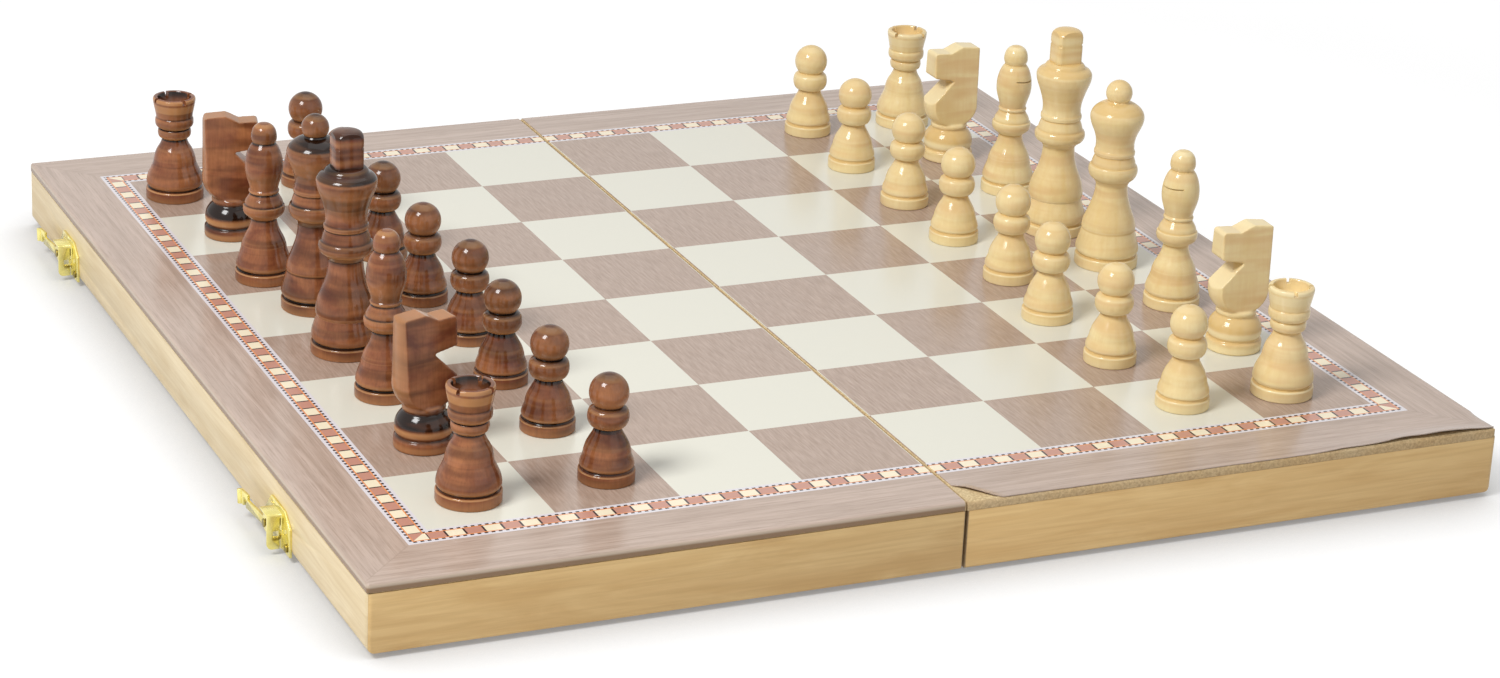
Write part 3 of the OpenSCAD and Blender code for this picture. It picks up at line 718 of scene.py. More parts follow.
@dataclass
class BoardHalf:
    """One half of the box: its rails, hardboard panel, printed film and lining."""

    side: Side
    finishes: Finishes
    film_mm: float = 0.3
    round_mm: float = 1.05  # outer radius of the film over the panel's edge
    wrap_mm: float = 1.85  # how far the film runs down the side below the rounding
    rewrap_rows: int = 5  # points of the rim over which the loose film finds back to the wrap
    fold_edge_mm: float = 0.6  # bare strip of panel beside the fold
    inner_mm: float = 20.0  # width of the finely divided rim of the film
    step_mm: float = 3.0  # spacing of the points along the rim
    corner_steps: int = 10
    tear_fold_mm: float = 13.0  # torn corner: its length along the fold
    tear_front_mm: float = 10.4  # and along the front edge
    loose_from_mm: float = 128.0  # where the loose edge starts to lift, from the fold
    loose_lift_mm: float = 1.1
    corner_mm: float = 3.0  # radius of the loose film's corner, seen from above
    rail_ease_mm: float = 0.45
    panel_ease_mm: float = 0.15

    def __post_init__(self) -> None:
        """Reads the half's outer limits from the frame."""
        low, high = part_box(self.side.node("panel"))
        self.end = max(abs(low[0]), abs(high[0])) / MM
        self.front = abs(low[1]) / MM
        self.fold = min(abs(low[0]), abs(high[0])) / MM
        self.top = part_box(self.side.node("board_film"))[1][2] / MM
        self.round_x = self.end - self.round_mm
        self.round_y = self.front - self.round_mm
        self.start_x = self.fold + self.fold_edge_mm
        self.is_torn = self.side is Side.RIGHT  # the film's wrap is gone along its front edge

    def build(self) -> None:
        """Builds and dresses every part of the half."""
        for part, material in (("front_rail", self.finishes.pine_x), ("back_rail", self.finishes.pine_x),
                               ("end_rail", self.finishes.pine_y), ("centre_rail", self.finishes.pine_y)):
            softened(self.side.node(part), self.side.node(f"pine_{part}"), material, self.rail_ease_mm)
        softened(self.side.node("panel"), self.side.node("hardboard"), self.finishes.core,
                 self.panel_ease_mm, self.inset_panel)
        lining = frame["nodes"][self.side.node("lining")]
        lining.data.materials.clear()
        lining.data.materials.append(self.finishes.lining[self.side])
        self.film()

    def inset_panel(self, point: Vector) -> None:
        """Moves a point of the panel's edges in by the film's thickness, where film covers them.

        Args:
            point: the point, changed in place.
        """
        near = (self.round_mm + 1.0) * MM
        if abs(point.x) > self.end * MM - near:
            point.x -= math.copysign(self.film_mm * MM, point.x)
        if abs(point.y) > self.front * MM - near and not (self.is_torn and point.y < 0):
            point.y -= math.copysign(self.film_mm * MM, point.y)

    def rim_path(self) -> list[tuple[Vector, Vector]]:
        """Lays points along the film's rim, from the front of the fold to its back.

        Returns:
            Each point with its outward direction.
        """
        along_x = round((self.round_x - self.start_x) / self.step_mm)
        along_y = round(2 * self.round_y / self.step_mm)
        front = [(self.start_x + (self.round_x - self.start_x) * i / along_x, -self.round_y)
                 for i in range(along_x + 1)]
        end = [(self.round_x, -self.round_y + 2 * self.round_y * i / along_y)
               for i in range(along_y + 1)]
        turns = [math.pi / 2 * i / self.corner_steps for i in range(1, self.corner_steps)]
        path = [(p, (0, -1)) for p in front]
        path += [(end[0], (math.sin(t), -math.cos(t))) for t in turns]
        path += [(p, (1, 0)) for p in end]
        path += [(end[-1], (math.cos(t), math.sin(t))) for t in turns]
        path += [((x, -y), (0, 1)) for x, y in reversed(front)]
        return [(Vector(point), Vector(way)) for point, way in path]

    def wrapped_section(self, inset: float = 0.0) -> list[tuple[float, float]]:
        """The film's section over a rounded edge: distance outwards and height above its top.

        Args:
            inset: depth below the film's outer face.

        Returns:
            The section's points, inner end first.
        """
        radius = self.round_mm - inset
        section = [(-self.inner_mm * share, -inset) for share in (1, 0.7, 0.5, 0.35, 0.22, 0.12, 0.05)]
        section += [(radius * math.sin(t), radius * math.cos(t) - self.round_mm)
                    for t in (math.pi / 2 * i / 8 for i in range(9))]
        return [*section, (radius, -self.round_mm - self.wrap_mm)]

    def corner_reach(self, origin: Vector, way: Vector) -> float:
        """Finds how far outwards the loose film may reach and stay inside a rounded corner.

        Args:
            origin: a point of the rim path.
            way: its outward direction.

        Returns:
            The distance from the point.
        """
        middle = Vector((self.end - self.corner_mm, self.corner_mm - self.front))
        if origin.x <= middle.x or origin.y >= middle.y:
            return self.round_mm
        away = origin - middle
        along = away.dot(way)
        return math.sqrt(max(0.0, along ** 2 - away.length_squared + self.corner_mm ** 2)) - along

    def loose_section(self, origin: Vector, way: Vector) -> list[tuple[float, float]]:
        """The film's section where its wrap is gone: a flat sheet whose edge lifts and wanders.

        Args:
            origin: a point of the rim path.
            way: its outward direction.

        Returns:
            As many points as the wrapped section has.
        """
        x = origin.x
        count = len(self.wrapped_section())
        torn = max(0.0, 1 - (x - self.start_x) / self.tear_front_mm)
        slow, quick, swell = (noise.noise(Vector(place)) for place in (
            (x / 17, 3.1, 0), (x / 4.5, 7.7, 0), (x / 11, 1.5, 0)))
        loose = clamp((x - self.loose_from_mm) / 30)
        lift = self.loose_lift_mm * loose * (1 + 0.6 * swell)
        lift *= 1 - 0.75 * clamp(1 - (self.round_x - x) / 16)
        lift += 0.9 * min(1.0, 5 * torn * (1 - torn))
        wander = 0.35 * abs(slow) + 0.12 * abs(quick) + loose * (0.6 + 0.9 * slow + 0.25 * quick)
        edge = self.round_mm - 0.35 - max(0.0, wander) - self.tear_fold_mm * torn
        limit = self.corner_reach(origin, way)
        section = []
        for i in range(count):
            share = 1 - (1 - i / (count - 1)) ** 1.6
            reach = min(limit, -self.inner_mm + (edge + self.inner_mm) * share)
            section.append((reach, lift * max(0.0, 1 - (edge - reach) / 9.0) ** 2))
        return section

    def film(self) -> None:
        """Lays the printed film over the panel, wrapped over its edges and torn where it is torn."""
        path = self.rim_path()
        front_count = sum(1 for _, way in path if way.y == -1)
        shape = bmesh.new()
        layers = []
        for inset in (0.0, self.film_mm):
            rows = []
            for i, (origin, way) in enumerate(path):
                section = self.wrapped_section(inset)
                past_corner = i - front_count - self.corner_steps + 1
                if self.is_torn and past_corner < self.rewrap_rows:
                    share = max(0.0, past_corner / self.rewrap_rows)
                    section = [(a + (c - a) * share, b - inset + (d - b + inset) * share)
                               for (a, b), (c, d) in zip(self.loose_section(origin, way), section)]
                rows.append([shape.verts.new(self.film_point(origin, way, *step)) for step in section])
            for row, following in zip(rows, rows[1:]):
                for face in zip(row, row[1:], following[1:], following):
                    shape.faces.new(face)
            shape.faces.new([row[0] for row in rows])
            layers.append([*rows[0][:0:-1], rows[0][0], *rows[-1], *(row[-1] for row in rows[-2:0:-1])])
        outer, inner = layers
        for face in zip(outer, outer[1:] + outer[:1], inner[1:] + inner[:1], inner):
            shape.faces.new(face)
        mesh = closed(mesh_of("film", shape), 0.001, 0.001)
        shade(mesh, self.finishes.print, 50)
        stand_for(new_object(self.side.node("printed_film"), mesh), self.side.node("board_film"))

    def film_point(self, origin: Vector, way: Vector, reach: float, rise: float) -> Vector:
        """One point of the film, in metres.

        Args:
            origin: a point of the rim path.
            way: its outward direction.
            reach: distance outwards from it; inwards the rim shrinks towards the middle of the fold.
            rise: height above the film's top.

        Returns:
            The point on this half's side of the fold.
        """
        spot = origin + way * reach
        if reach < 0:
            share_x = (self.round_x + reach - self.start_x) / (self.round_x - self.start_x)
            share_y = (self.round_y + reach) / self.round_y
            spot = Vector((self.start_x + (origin.x - self.start_x) * share_x, origin.y * share_y))
        return Vector((self.side.value * spot.x, spot.y, self.top + rise)) * MM


# ---- turned men ----

Point = tuple[float, float]  # radius, or distance forward, and height, in millimetres
Band = tuple[float, float, float]  # lower and upper height in millimetres, and strength


def spline(*points: Point, steps: int = 5) -> list[Point]:
    """Draws a smooth curve through points, as a turner's gouge leaves it.

    Args:
        *points: radius and height of each point, bottom first.
        steps: short lines in each stretch.

    Returns:
        The points of the curve.
    """
    padded = [points[0], *points, points[-1]]
    curve = []
    for a, b, c, d in zip(padded, padded[1:], padded[2:], padded[3:]):
        for i in range(steps):
            t = i / steps
            curve.append(tuple(
                0.5 * (2 * q + (r - p) * t + (2 * p - 5 * q + 4 * r - s) * t * t
                       + (3 * q - p - 3 * r + s) * t ** 3) for p, q, r, s in zip(a, b, c, d)))
    return [*curve, points[-1]]


def arc(centre: Point, radius: float, start_deg: float, end_deg: float, steps: int = 18) -> list[Point]:
    """Draws an arc.

    Args:
        centre: its centre.
        radius: its radius.
        start_deg: angle of its first point above the outward direction.
        end_deg: the same for its last point.
        steps: short lines in it.

    Returns:
        The points.
    """
    turns = [math.radians(start_deg + (end_deg - start_deg) * i / steps) for i in range(steps + 1)]
    return [(centre[0] + radius * math.cos(t), centre[1] + radius * math.sin(t)) for t in turns]


def foot(radius: float, groove: float) -> list[Point]:
    """The disc at a man's foot with its eased edges, up to the groove above it.

    Args:
        radius: the disc's radius.
        groove: the groove's.

    Returns:
        The points of its outline.
    """
    return [(0, 0), *arc((radius - 0.5, 0.5), 0.5, -90, 0, 4), *arc((radius - 0.7, 3.45), 0.7, 0, 90, 6),
            (groove + 0.3, 4.2), (groove + 0.15, 4.35), (groove + 0.15, 4.55)]


@dataclass(frozen=True)
class Pattern:
    """What a kind of man is turned to, in millimetres, with the heights where its wood is scorched."""

    kind: str
    radius: float
    height: float
    outline: tuple[Point, ...]
    scorches: tuple[Band, ...] = ()
    torch: float = 0.95  # how burnt its upper faces are
    sharp_deg: float = 35.0  # the least angle of an edge that stays sharp


PAWN = Pattern("pawn", 9.2, 36.0, (
    *foot(9.2, 8.2),
    *spline((8.3, 4.7), (8.8, 5.6), (8.6, 6.9), (8.1, 8.2), (7.75, 9.3)),
    *spline((7.65, 10.2), (6.95, 12.4), (5.9, 14.4), (4.9, 16.2), (4.3, 17.8)),
    *spline((4.5, 18.1), (5.7, 18.7), (6.5, 20.2), (6.7, 22), (6.3, 23.8), (5.3, 24.8)),
    *arc((0, 29.6), 6.4, -44, 90, 20)),
    ((16.5, 18.3, 0.8), (24.2, 26.0, 0.7)), torch=0.8)

ROOK = Pattern("rook", 10.65, 39.0, (
    *foot(10.65, 9.4),
    *spline((9.7, 4.7), (10.4, 5.8), (10.4, 7), (10, 8.8), (9.3, 10.5), (8.55, 12.1), (7.9, 13.7)),
    *spline((7.75, 15), (7.3, 16.9), (6.6, 18.6), (5.7, 20.1), (5, 21.5), (4.6, 22.9)),
    *spline((4.9, 23.2), (5.8, 23.9), (6.15, 25.2), (6, 26.5), (5.6, 27)),
    *spline((6, 27.3), (6.9, 28.3), (7.1, 29.6), (7, 30.7), (6.7, 31.3)),
    *spline((6.75, 31.7), (7, 33.2), (7.5, 35.6), (7.85, 37.8), (7.7, 38.7), (7.2, 39)),
    (6.3, 39), (5.95, 38.6), (5.6, 36), (5, 35), (0, 34.6)),
    ((22.0, 23.4, 0.5), (30.9, 31.8, 0.4)), torch=0.3)

BISHOP = Pattern("bishop", 10.1, 58.0, (
    *foot(10.1, 9),
    *spline((9.2, 4.7), (9.8, 5.7), (9.7, 6.9), (9.2, 8.7), (8.6, 10.3), (8.1, 11.8)),
    *spline((7.95, 13.2), (7.3, 15.2), (6.4, 17), (5.5, 18.8), (4.85, 20.8), (4.5, 22.8)),
    *spline((4.7, 23), (5.8, 23.9), (7, 25.1), (7.4, 26.6), (7.25, 27.9)),
    *spline((6.8, 28.3), (6.5, 29.6), (5.7, 31), (4.9, 32.4)),
    *spline((5.3, 32.8), (5.35, 33.4), (4.95, 34)),
    *spline((5.4, 36), (6.1, 38.2), (6.6, 40.5), (6.7, 42.8), (6.5, 45), (5.9, 47.4), (5.1, 49.3),
            (4, 50.8)),
    *spline((4.1, 51.2), (4.5, 52.4), (4.45, 54), (4.1, 55.5), (3.2, 56.9), (1.8, 57.8), (0, 58))),
    ((22.0, 23.4, 0.5), (50.2, 51.6, 0.5)), torch=0.35)

QUEEN = Pattern("queen", 11.6, 70.5, (
    *foot(11.6, 10.4),
    *spline((10.7, 4.7), (11.5, 5.8), (11.5, 7.2), (11, 9.2), (10.3, 11.6), (9.7, 13.8)),
    *spline((9.9, 14.6), (9.75, 16), (9.3, 17.8), (8.3, 20.3), (7.3, 23), (6.5, 25.6), (6, 28.2),
            (5.85, 31)),
    *spline((6, 31.4), (6.7, 32.6), (8.2, 34), (8.9, 35.6), (9, 37), (8.65, 38.2)),
    *spline((8.15, 38.6), (7.85, 40), (7.35, 41.4), (7.05, 42.2)),
    *spline((7.45, 42.7), (7.5, 43.7), (7.1, 44.6)),
    *spline((7, 46.6), (7.3, 48.8), (8, 51), (8.9, 53), (9.6, 55), (9.85, 56.8), (9.5, 58.4), (8.6, 59.8),
            (7.2, 61), (5.6, 61.9), (4.2, 62.4)),
    *arc((0, 65.7), 4.8, -36, 90, 16)),
    ((58.6, 63.2, 0.9), (31.0, 32.4, 0.5), (44.2, 46.6, 0.3)))

KING = Pattern("king", 11.7, 79.0, (
    *foot(11.7, 10.5),
    *spline((10.8, 4.7), (11.5, 6), (11.4, 8), (10.7, 10.4), (10.1, 12.2), (9.7, 13.4)),
    *spline((10.2, 14.4), (10.15, 16.4), (9.5, 19.6), (8.5, 22.4), (7.4, 25), (6.6, 27.6), (6.1, 30.4),
            (5.9, 33.4)),
    *spline((6.1, 33.8), (7.1, 35), (8.7, 36.2), (9.35, 37.6), (9.3, 39), (8.9, 39.8)),
    *spline((8.4, 40.2), (8.05, 41.6), (7.5, 43.2), (7.15, 44.1)),
    *spline((7.6, 44.6), (7.65, 45.7), (7.2, 46.6)),
    *spline((7.1, 48.6), (7.4, 51), (8.1, 53.6), (9, 56.2), (9.9, 58.6), (10.3, 60.6), (10.2, 62),
            (9.4, 63.2), (8.3, 63.9)),
    *spline((7.7, 64.3), (7.2, 65.2), (6.4, 65.9), (5.6, 66.1)),
    (0, 66.1)),
    ((61.8, 66.6, 1.0), (38.0, 41.2, 0.6), (52.0, 57.0, 0.35)))

KING_FINIAL = Pattern("king", 11.7, 79.0, (
    (0, 65.8), (5.6, 65.8),
    *spline((6.2, 66.8), (6.4, 68.4), (6.35, 70.4), (6.15, 72.4)),
    (5.7, 73), (5.7, 73.5),
    *spline((6.15, 74.1), (6, 75.9), (5.4, 77.5), (3.8, 78.6), (0, 79))),
    ((65.0, 66.8, 0.9), (72.4, 73.8, 0.7), (77.0, 79.5, 0.95)))

KNIGHT_BASE = Pattern("knight", 9.8, 46.0, (
    *foot(9.8, 8.7),
    *spline((8.9, 4.8), (9.45, 5.9), (9.5, 7.6), (9.1, 9.6), (8, 11.4), (7, 12.4)),
    *spline((6.7, 12.8), (7.1, 13.4), (7.1, 14.2), (6.7, 14.8)),
    (0, 14.8)),
    ((7.5, 12.8, 0.6),), sharp_deg=180)

KNIGHT_BODY = Pattern("knight", 9.8, 46.0, (
    (0, 14.4), (6.6, 14.4),
    *spline((6.7, 14.8), (8.2, 16.2), (9.6, 18.2), (10.4, 20.6), (10.5, 23), (10.4, 26)),
    (10.3, 47), (0, 47)))

# The knight's side view: distance forward from the middle and height
KNIGHT_HEAD: tuple[Point, ...] = (
    (-11, 14), *arc((-8.4, 43.4), 2, 180, 95, 8), (-2.2, 46), (-0.4, 45.3), (2.6, 43.7),
    *arc((8.2, 42.7), 1.4, 90, 0, 6), *arc((8.4, 35.2), 1.2, 0, -75, 6),
    (1.3, 32.7), (1.3, 32.2), (11, 22.6), (11, 14))


class Turning:
    """The lathe: a node tree that spins an outline into a closed shape with its scorch and wear."""

    SEGMENTS = 72
    MERGE_MM = 0.002
    IN_CUP = 0.3  # how burnt the hollow of a rook's top is
    FADE_MM = 0.5  # over which a scorched band fades out
    REACH_MM = 0.9  # how far round a point its outline is looked at
    RIDGE_MM = 0.22  # how far the sharpest ridge stands out
    FOOT_MM = 3.3  # height of the rubbed disc at the foot
    FOOT_WEAR = 0.4

    def __init__(self) -> None:
        """Builds the tree."""
        self.tree = tree = bpy.data.node_groups.new("turning on a lathe", "GeometryNodeTree")
        tree.is_modifier = True
        self.ids = {name: tree.interface.new_socket(
            name, in_out="INPUT", socket_type=f"NodeSocket{kind}").identifier
            for name, kind in (("Outline", "Geometry"), ("Segments", "Int"), ("Wood", "Material"))}
        tree.interface.new_socket("Turned", in_out="OUTPUT", socket_type="NodeSocketGeometry")
        add = partial(add_node, tree)
        outline, segments, wood, _ = add("NodeGroupInput").outputs
        size = add("GeometryNodeAttributeDomainSize", outline)
        around = add("Math ADD", segments, 1.0)
        grid = add("GeometryNodeMeshGrid", 1.0, 1.0, size.outputs["Point Count"], around)
        index = add("GeometryNodeInputIndex")
        row = add("Math FLOOR", add("Math DIVIDE", index, around))
        column = add("Math FLOORED_MODULO", index, around)
        turn = add("Math MULTIPLY", add("Math DIVIDE", column, segments), 2 * math.pi)
        spot = add("GeometryNodeSampleIndex", data_type="FLOAT_VECTOR", domain="POINT",
                   Geometry=outline, Value=add("GeometryNodeInputPosition"), Index=row)
        spun = add("VectorRotate", spot, rotation_type="Z_AXIS", Angle=turn)
        shape = add("GeometryNodeSetPosition", grid.outputs["Mesh"], Position=spun)
        for name in ("scorch", "wear"):
            named = add("GeometryNodeInputNamedAttribute", name, data_type="FLOAT")
            value = add("GeometryNodeSampleIndex", data_type="FLOAT", domain="POINT",
                        Geometry=outline, Value=named.outputs["Attribute"], Index=row)
            shape = add("GeometryNodeStoreNamedAttribute", shape, data_type="FLOAT", domain="POINT",
                        Name=name, Value=value)
        merged = add("GeometryNodeMergeByDistance", shape, Distance=self.MERGE_MM * MM)
        real = add("GeometryNodeRealizeInstances", merged)
        add("NodeGroupOutput", add("GeometryNodeSetMaterial", real, Material=wood))

    def spin(self, pattern: Pattern, wood: Material) -> Object:
        """Turns a pattern to a closed mesh that stands on the origin.

        Args:
            pattern: what to turn.
            wood: the finish.

        Returns:
            A new object with the turned mesh.
        """
        points = [p for p, before in zip(pattern.outline, (None, *pattern.outline)) if p != before]
        mesh = bpy.data.meshes.new(pattern.kind)
        mesh.from_pydata([(r * MM, 0, z * MM) for r, z in points],
                         [(i, i + 1) for i in range(len(points) - 1)], [])
        marks = [self.marks(pattern, points, i) for i in range(len(points))]
        for name, values in zip(("scorch", "wear"), zip(*marks)):
            mesh.attributes.new(name, "FLOAT", "POINT").data.foreach_set("value", values)
        obj = new_object(pattern.kind, mesh)
        lathe = obj.modifiers.new("lathe", "NODES")
        lathe.node_group = self.tree
        lathe[self.ids["Segments"]] = self.SEGMENTS
        lathe[self.ids["Wood"]] = wood
        obj.data = closed(evaluated(obj))
        return obj

    def marks(self, pattern: Pattern, points: Sequence[Point], i: int) -> tuple[float, float]:
        """Finds how burnt a point of an outline is, and how rubbed.

        Bands, grooves and what faces the torch are burnt. Ridges, undersides and the foot are rubbed.

        Args:
            pattern: what is turned.
            points: its outline.
            i: the point's number.

        Returns:
            Its scorch and its wear, from 0 to 1.
        """
        height = points[i][1]
        before, after = points[max(i - 1, 0)], points[min(i + 1, len(points) - 1)]
        out, up = after[0] - before[0], after[1] - before[1]
        upward = -out / math.hypot(out, up)  # 1 for a flat top and -1 for an underside
        bulge = self.bulge(points, i)
        wear = max(self.FOOT_WEAR if height < self.FOOT_MM else 0.0, 0.8 * bulge, -1.1 * upward)
        if height < max(z for _, z in points[:i + 1]) - 0.5:
            return self.IN_CUP, wear
        bands = (strength * clamp(min(height - low, high - height) / self.FADE_MM)
                 for low, high, strength in pattern.scorches)
        return min(1.0, max(0.0, -bulge, pattern.torch * upward - 0.1, *bands)), wear

    def bulge(self, points: Sequence[Point], i: int) -> float:
        """Finds how far a point stands out of its outline.

        Args:
            points: the outline.
            i: the point's number.

        Returns:
            From -1 in a groove to 1 on a ridge.
        """
        radius, height = points[i]
        near = [p for p in points if 0.05 < abs(p[1] - height) < self.REACH_MM and p[0] > 0]
        below = [p[0] for p in near if p[1] < height]
        above = [p[0] for p in near if p[1] > height]
        if not below or not above or radius == 0:
            return 0.0
        around = (sum(below) / len(below) + sum(above) / len(above)) / 2
        return max(-1.0, min(1.0, (radius - around) / self.RIDGE_MM))


def block(size_mm: Sequence[float], middle_mm: Sequence[float], turn: Matrix = Matrix.Identity(4),
          ease_mm: float = 0.0) -> BMesh:
    """A block for a cut.

    Args:
        size_mm: its size along X, Y and Z.
        middle_mm: its middle.
        turn: how it is turned about the origin afterwards.
        ease_mm: width of its eased edges.

    Returns:
        The block.
    """
    shape = bmesh.new()
    size = Matrix.Diagonal((*(length * MM for length in size_mm), 1.0))
    bmesh.ops.create_cube(shape, size=1.0, matrix=Matrix.Translation(Vector(middle_mm) * MM) @ size)
    if ease_mm:
        bmesh.ops.bevel(shape, geom=shape.edges[:], offset=ease_mm * MM, segments=3, profile=0.5,
                        affect="EDGES")
    bmesh.ops.transform(shape, matrix=turn, verts=shape.verts)
    return shape


@dataclass
class ChessSet:
    """The thirty-two turned men, each at its own place on the board."""

    finishes: Finishes
    foot_mm: float = 4.0  # height of the disc that shows a man's place
    rook_gap_mm: tuple[float, float] = (1.3, 1.6)  # width and depth of the cuts in a rook's rim
    rook_gap_ease_mm: float = 0.3
    bishop_cut_mm: float = 0.5
    bishop_cut_height: float = 0.78  # of the bishop's height
    bishop_cut_from: float = 0.2  # of its foot's diameter, from the middle
    bishop_cut_deg: float = -8.0
    finial_mm: tuple[float, float] = (9.9, 8.5)
    finial_ease_mm: float = 1.3
    ring_mm: float = 0.5  # spacing of the levels at which its burnt rings are marked
    knight_thick_mm: tuple[float, float] = (12.0, 7.4)  # at the foot of its flat sides and at its ears
    knight_body_share: float = 0.3  # of its height, where the flat sides start
    fade_mm: float = 0.9  # over which a burnt or rubbed band fades out
    knight_voxel_mm: float = 0.3
    knight_rim: float = 0.6  # wear of a knight's turned sides, between its flats
    turns: dict[str, tuple[int, int]] = field(default_factory=lambda: {  # dark and light, degrees
        "rook_1": (40, 70), "rook_2": (12, 30), "bishop_1": (30, 200), "bishop_2": (120, 300),
        "knight_1": (12, 177), "knight_2": (-14, 180)})

    def build(self) -> None:
        """Makes a pattern piece of each kind in each wood and sets a copy on each man's place."""
        self.lathe = Turning()
        works = ((PAWN, None), (ROOK, self.cut_rim), (BISHOP, self.cut_mitre), (KNIGHT_BASE, self.add_head),
                 (QUEEN, None), (KING, self.add_finial))
        for camp in Camp:
            wood = self.finishes.lacquer[camp]
            for pattern, work in works:
                obj = self.lathe.spin(pattern, wood)
                if work:
                    obj = work(obj, wood)
                shade(closed(obj.data), wood, pattern.sharp_deg)
                for node in frame["nodes"]:
                    if node.startswith(f"{camp.value}_{pattern.kind}"):
                        self.place(obj.data, pattern, node, camp)
                bpy.data.objects.remove(obj)

    def place(self, mesh: Mesh, pattern: Pattern, node: str, camp: Camp) -> None:
        """Sets a copy of a turned man where its node stands.

        Args:
            mesh: the turned shape, standing on the origin.
            pattern: what it was turned to, for its size.
            node: the frame's node.
            camp: which set it belongs to.
        """
        points = [vert.co for vert in frame["nodes"][node].data.vertices]
        floor = min(p.z for p in points)
        height = max(p.z for p in points) - floor
        xs, ys = zip(*((p.x, p.y) for p in points if p.z < floor + self.foot_mm * MM))
        centre = Vector(((min(xs) + max(xs)) / 2, (min(ys) + max(ys)) / 2, floor))
        wide = (max(xs) - min(xs)) / 2 / (pattern.radius * MM)
        turn = self.turns.get(node.removeprefix(f"{camp.value}_"), (0, 0))[camp is Camp.LIGHT]
        size = Matrix.Diagonal((wide, wide, height / (pattern.height * MM), 1.0))
        copy = mesh.copy()
        copy.transform(Matrix.Translation(centre) @ Matrix.Rotation(math.radians(turn), 4, "Z") @ size)
        stand_for(new_object(f"turned_{node}", copy), node)

    def cut(self, obj: Object, cutter: BMesh, operation: str) -> None:
        """Cuts a turned shape with another shape.

        Args:
            obj: the object to cut.
            cutter: the other shape, freed here.
            operation: DIFFERENCE or INTERSECT.
        """
        bmesh.ops.recalc_face_normals(cutter, faces=cutter.faces)
        tool = new_object("cutter", mesh_of("cutter", cutter))
        boolean = obj.modifiers.new("cut", "BOOLEAN")
        boolean.operation = operation
        boolean.solver = "EXACT"
        boolean.object = tool
        obj.data = evaluated(obj)
        bpy.data.objects.remove(tool)

    def cut_rim(self, rook: Object, _: Material) -> Object:
        """Cuts a rook's rim crosswise.

        Args:
            rook: the turned rook.

        Returns:
            The rook.
        """
        wide, deep = self.rook_gap_mm
        for turn in (0, 90):
            turned = Matrix.Rotation(math.radians(turn), 4, "Z")
            gap = block((30, wide, 2 * deep), (0, 0, ROOK.height), turned, self.rook_gap_ease_mm)
            self.cut(rook, gap, "DIFFERENCE")
        return rook

    def cut_mitre(self, bishop: Object, _: Material) -> Object:
        """Saws the notch of a bishop's mitre.

        Args:
            bishop: the turned bishop.

        Returns:
            The bishop.
        """
        length = 20.0
        start = self.bishop_cut_from * 2 * BISHOP.radius
        height = self.bishop_cut_height * BISHOP.height
        tilt = Matrix.Translation((start * MM, 0, height * MM)) @ Matrix.Rotation(
            math.radians(-self.bishop_cut_deg), 4, "Y")
        self.cut(bishop, block((length, length, self.bishop_cut_mm), (length / 2, 0, 0), tilt), "DIFFERENCE")
        return bishop

    def add_finial(self, king: Object, wood: Material) -> Object:
        """Turns a king's finial, planes its four flats and sets it on.

        Args:
            king: the turned king.
            wood: the finish.

        Returns:
            The whole king.
        """
        finial = self.lathe.spin(KING_FINIAL, wood)
        flats = block((*self.finial_mm, 30), (0, 0, KING.height - 10), ease_mm=self.finial_ease_mm)
        self.cut(finial, flats, "INTERSECT")
        shape = bmesh.new()
        shape.from_mesh(finial.data)
        low, high = (round(z / self.ring_mm) for z in (KING_FINIAL.outline[0][1], KING.height))
        for level in range(low, high):
            bmesh.ops.bisect_plane(shape, geom=[*shape.verts, *shape.edges, *shape.faces],
                                   plane_co=(0, 0, level * self.ring_mm * MM), plane_no=(0, 0, 1))
        shape.to_mesh(finial.data)
        shape.free()
        self.mark(finial.data, ((65.0, 67.2, 1.0), (69.6, 70.8, 0.35), (71.9, 73.9, 0.6), (76.0, 80, 1.0)),
                  ((67.4, 69.6, 0.25), (70.8, 71.9, 0.2), (73.8, 76.0, 0.3)))
        return new_object("king", joined("king", king, finial))

    def add_head(self, base: Object, wood: Material) -> Object:
        """Turns a knight's blank, saws it to its side view, sets it on its base and sands it.

        Args:
            base: the turned base.
            wood: the finish.

        Returns:
            The whole knight.
        """
        blank = self.lathe.spin(KNIGHT_BODY, wood)
        low, top = self.knight_thick_mm
        start = self.knight_body_share * KNIGHT_BASE.height
        lean = (top - low) / (KNIGHT_BASE.height + 1 - start)
        saw = bmesh.new()
        near, far = ([saw.verts.new(Vector((x, way * (low + lean * (z - start)) / 2, z)) * MM)
                      for x, z in KNIGHT_HEAD] for way in (-1, 1))
        saw.faces.new(near)
        saw.faces.new(far[::-1])
        for face in zip(near, far, far[1:] + far[:1], near[1:] + near[:1]):
            saw.faces.new(face)
        self.cut(blank, saw, "INTERSECT")
        obj = new_object("knight", joined("knight", blank, base))
        remesh = obj.modifiers.new("one body", "REMESH")
        remesh.mode = "VOXEL"
        remesh.voxel_size = self.knight_voxel_mm * MM
        sanding = obj.modifiers.new("sanding", "SMOOTH")
        sanding.factor = 0.5
        sanding.iterations = 4
        obj.data = evaluated(obj)
        self.mark(obj.data, ((3.4, 5.4, 1.0), (7.6, 13.4, 0.95)),
                  ((-1.0, 2.8, 0.5), (5.0, 8.0, 0.8)), self.knight_rim)
        return obj

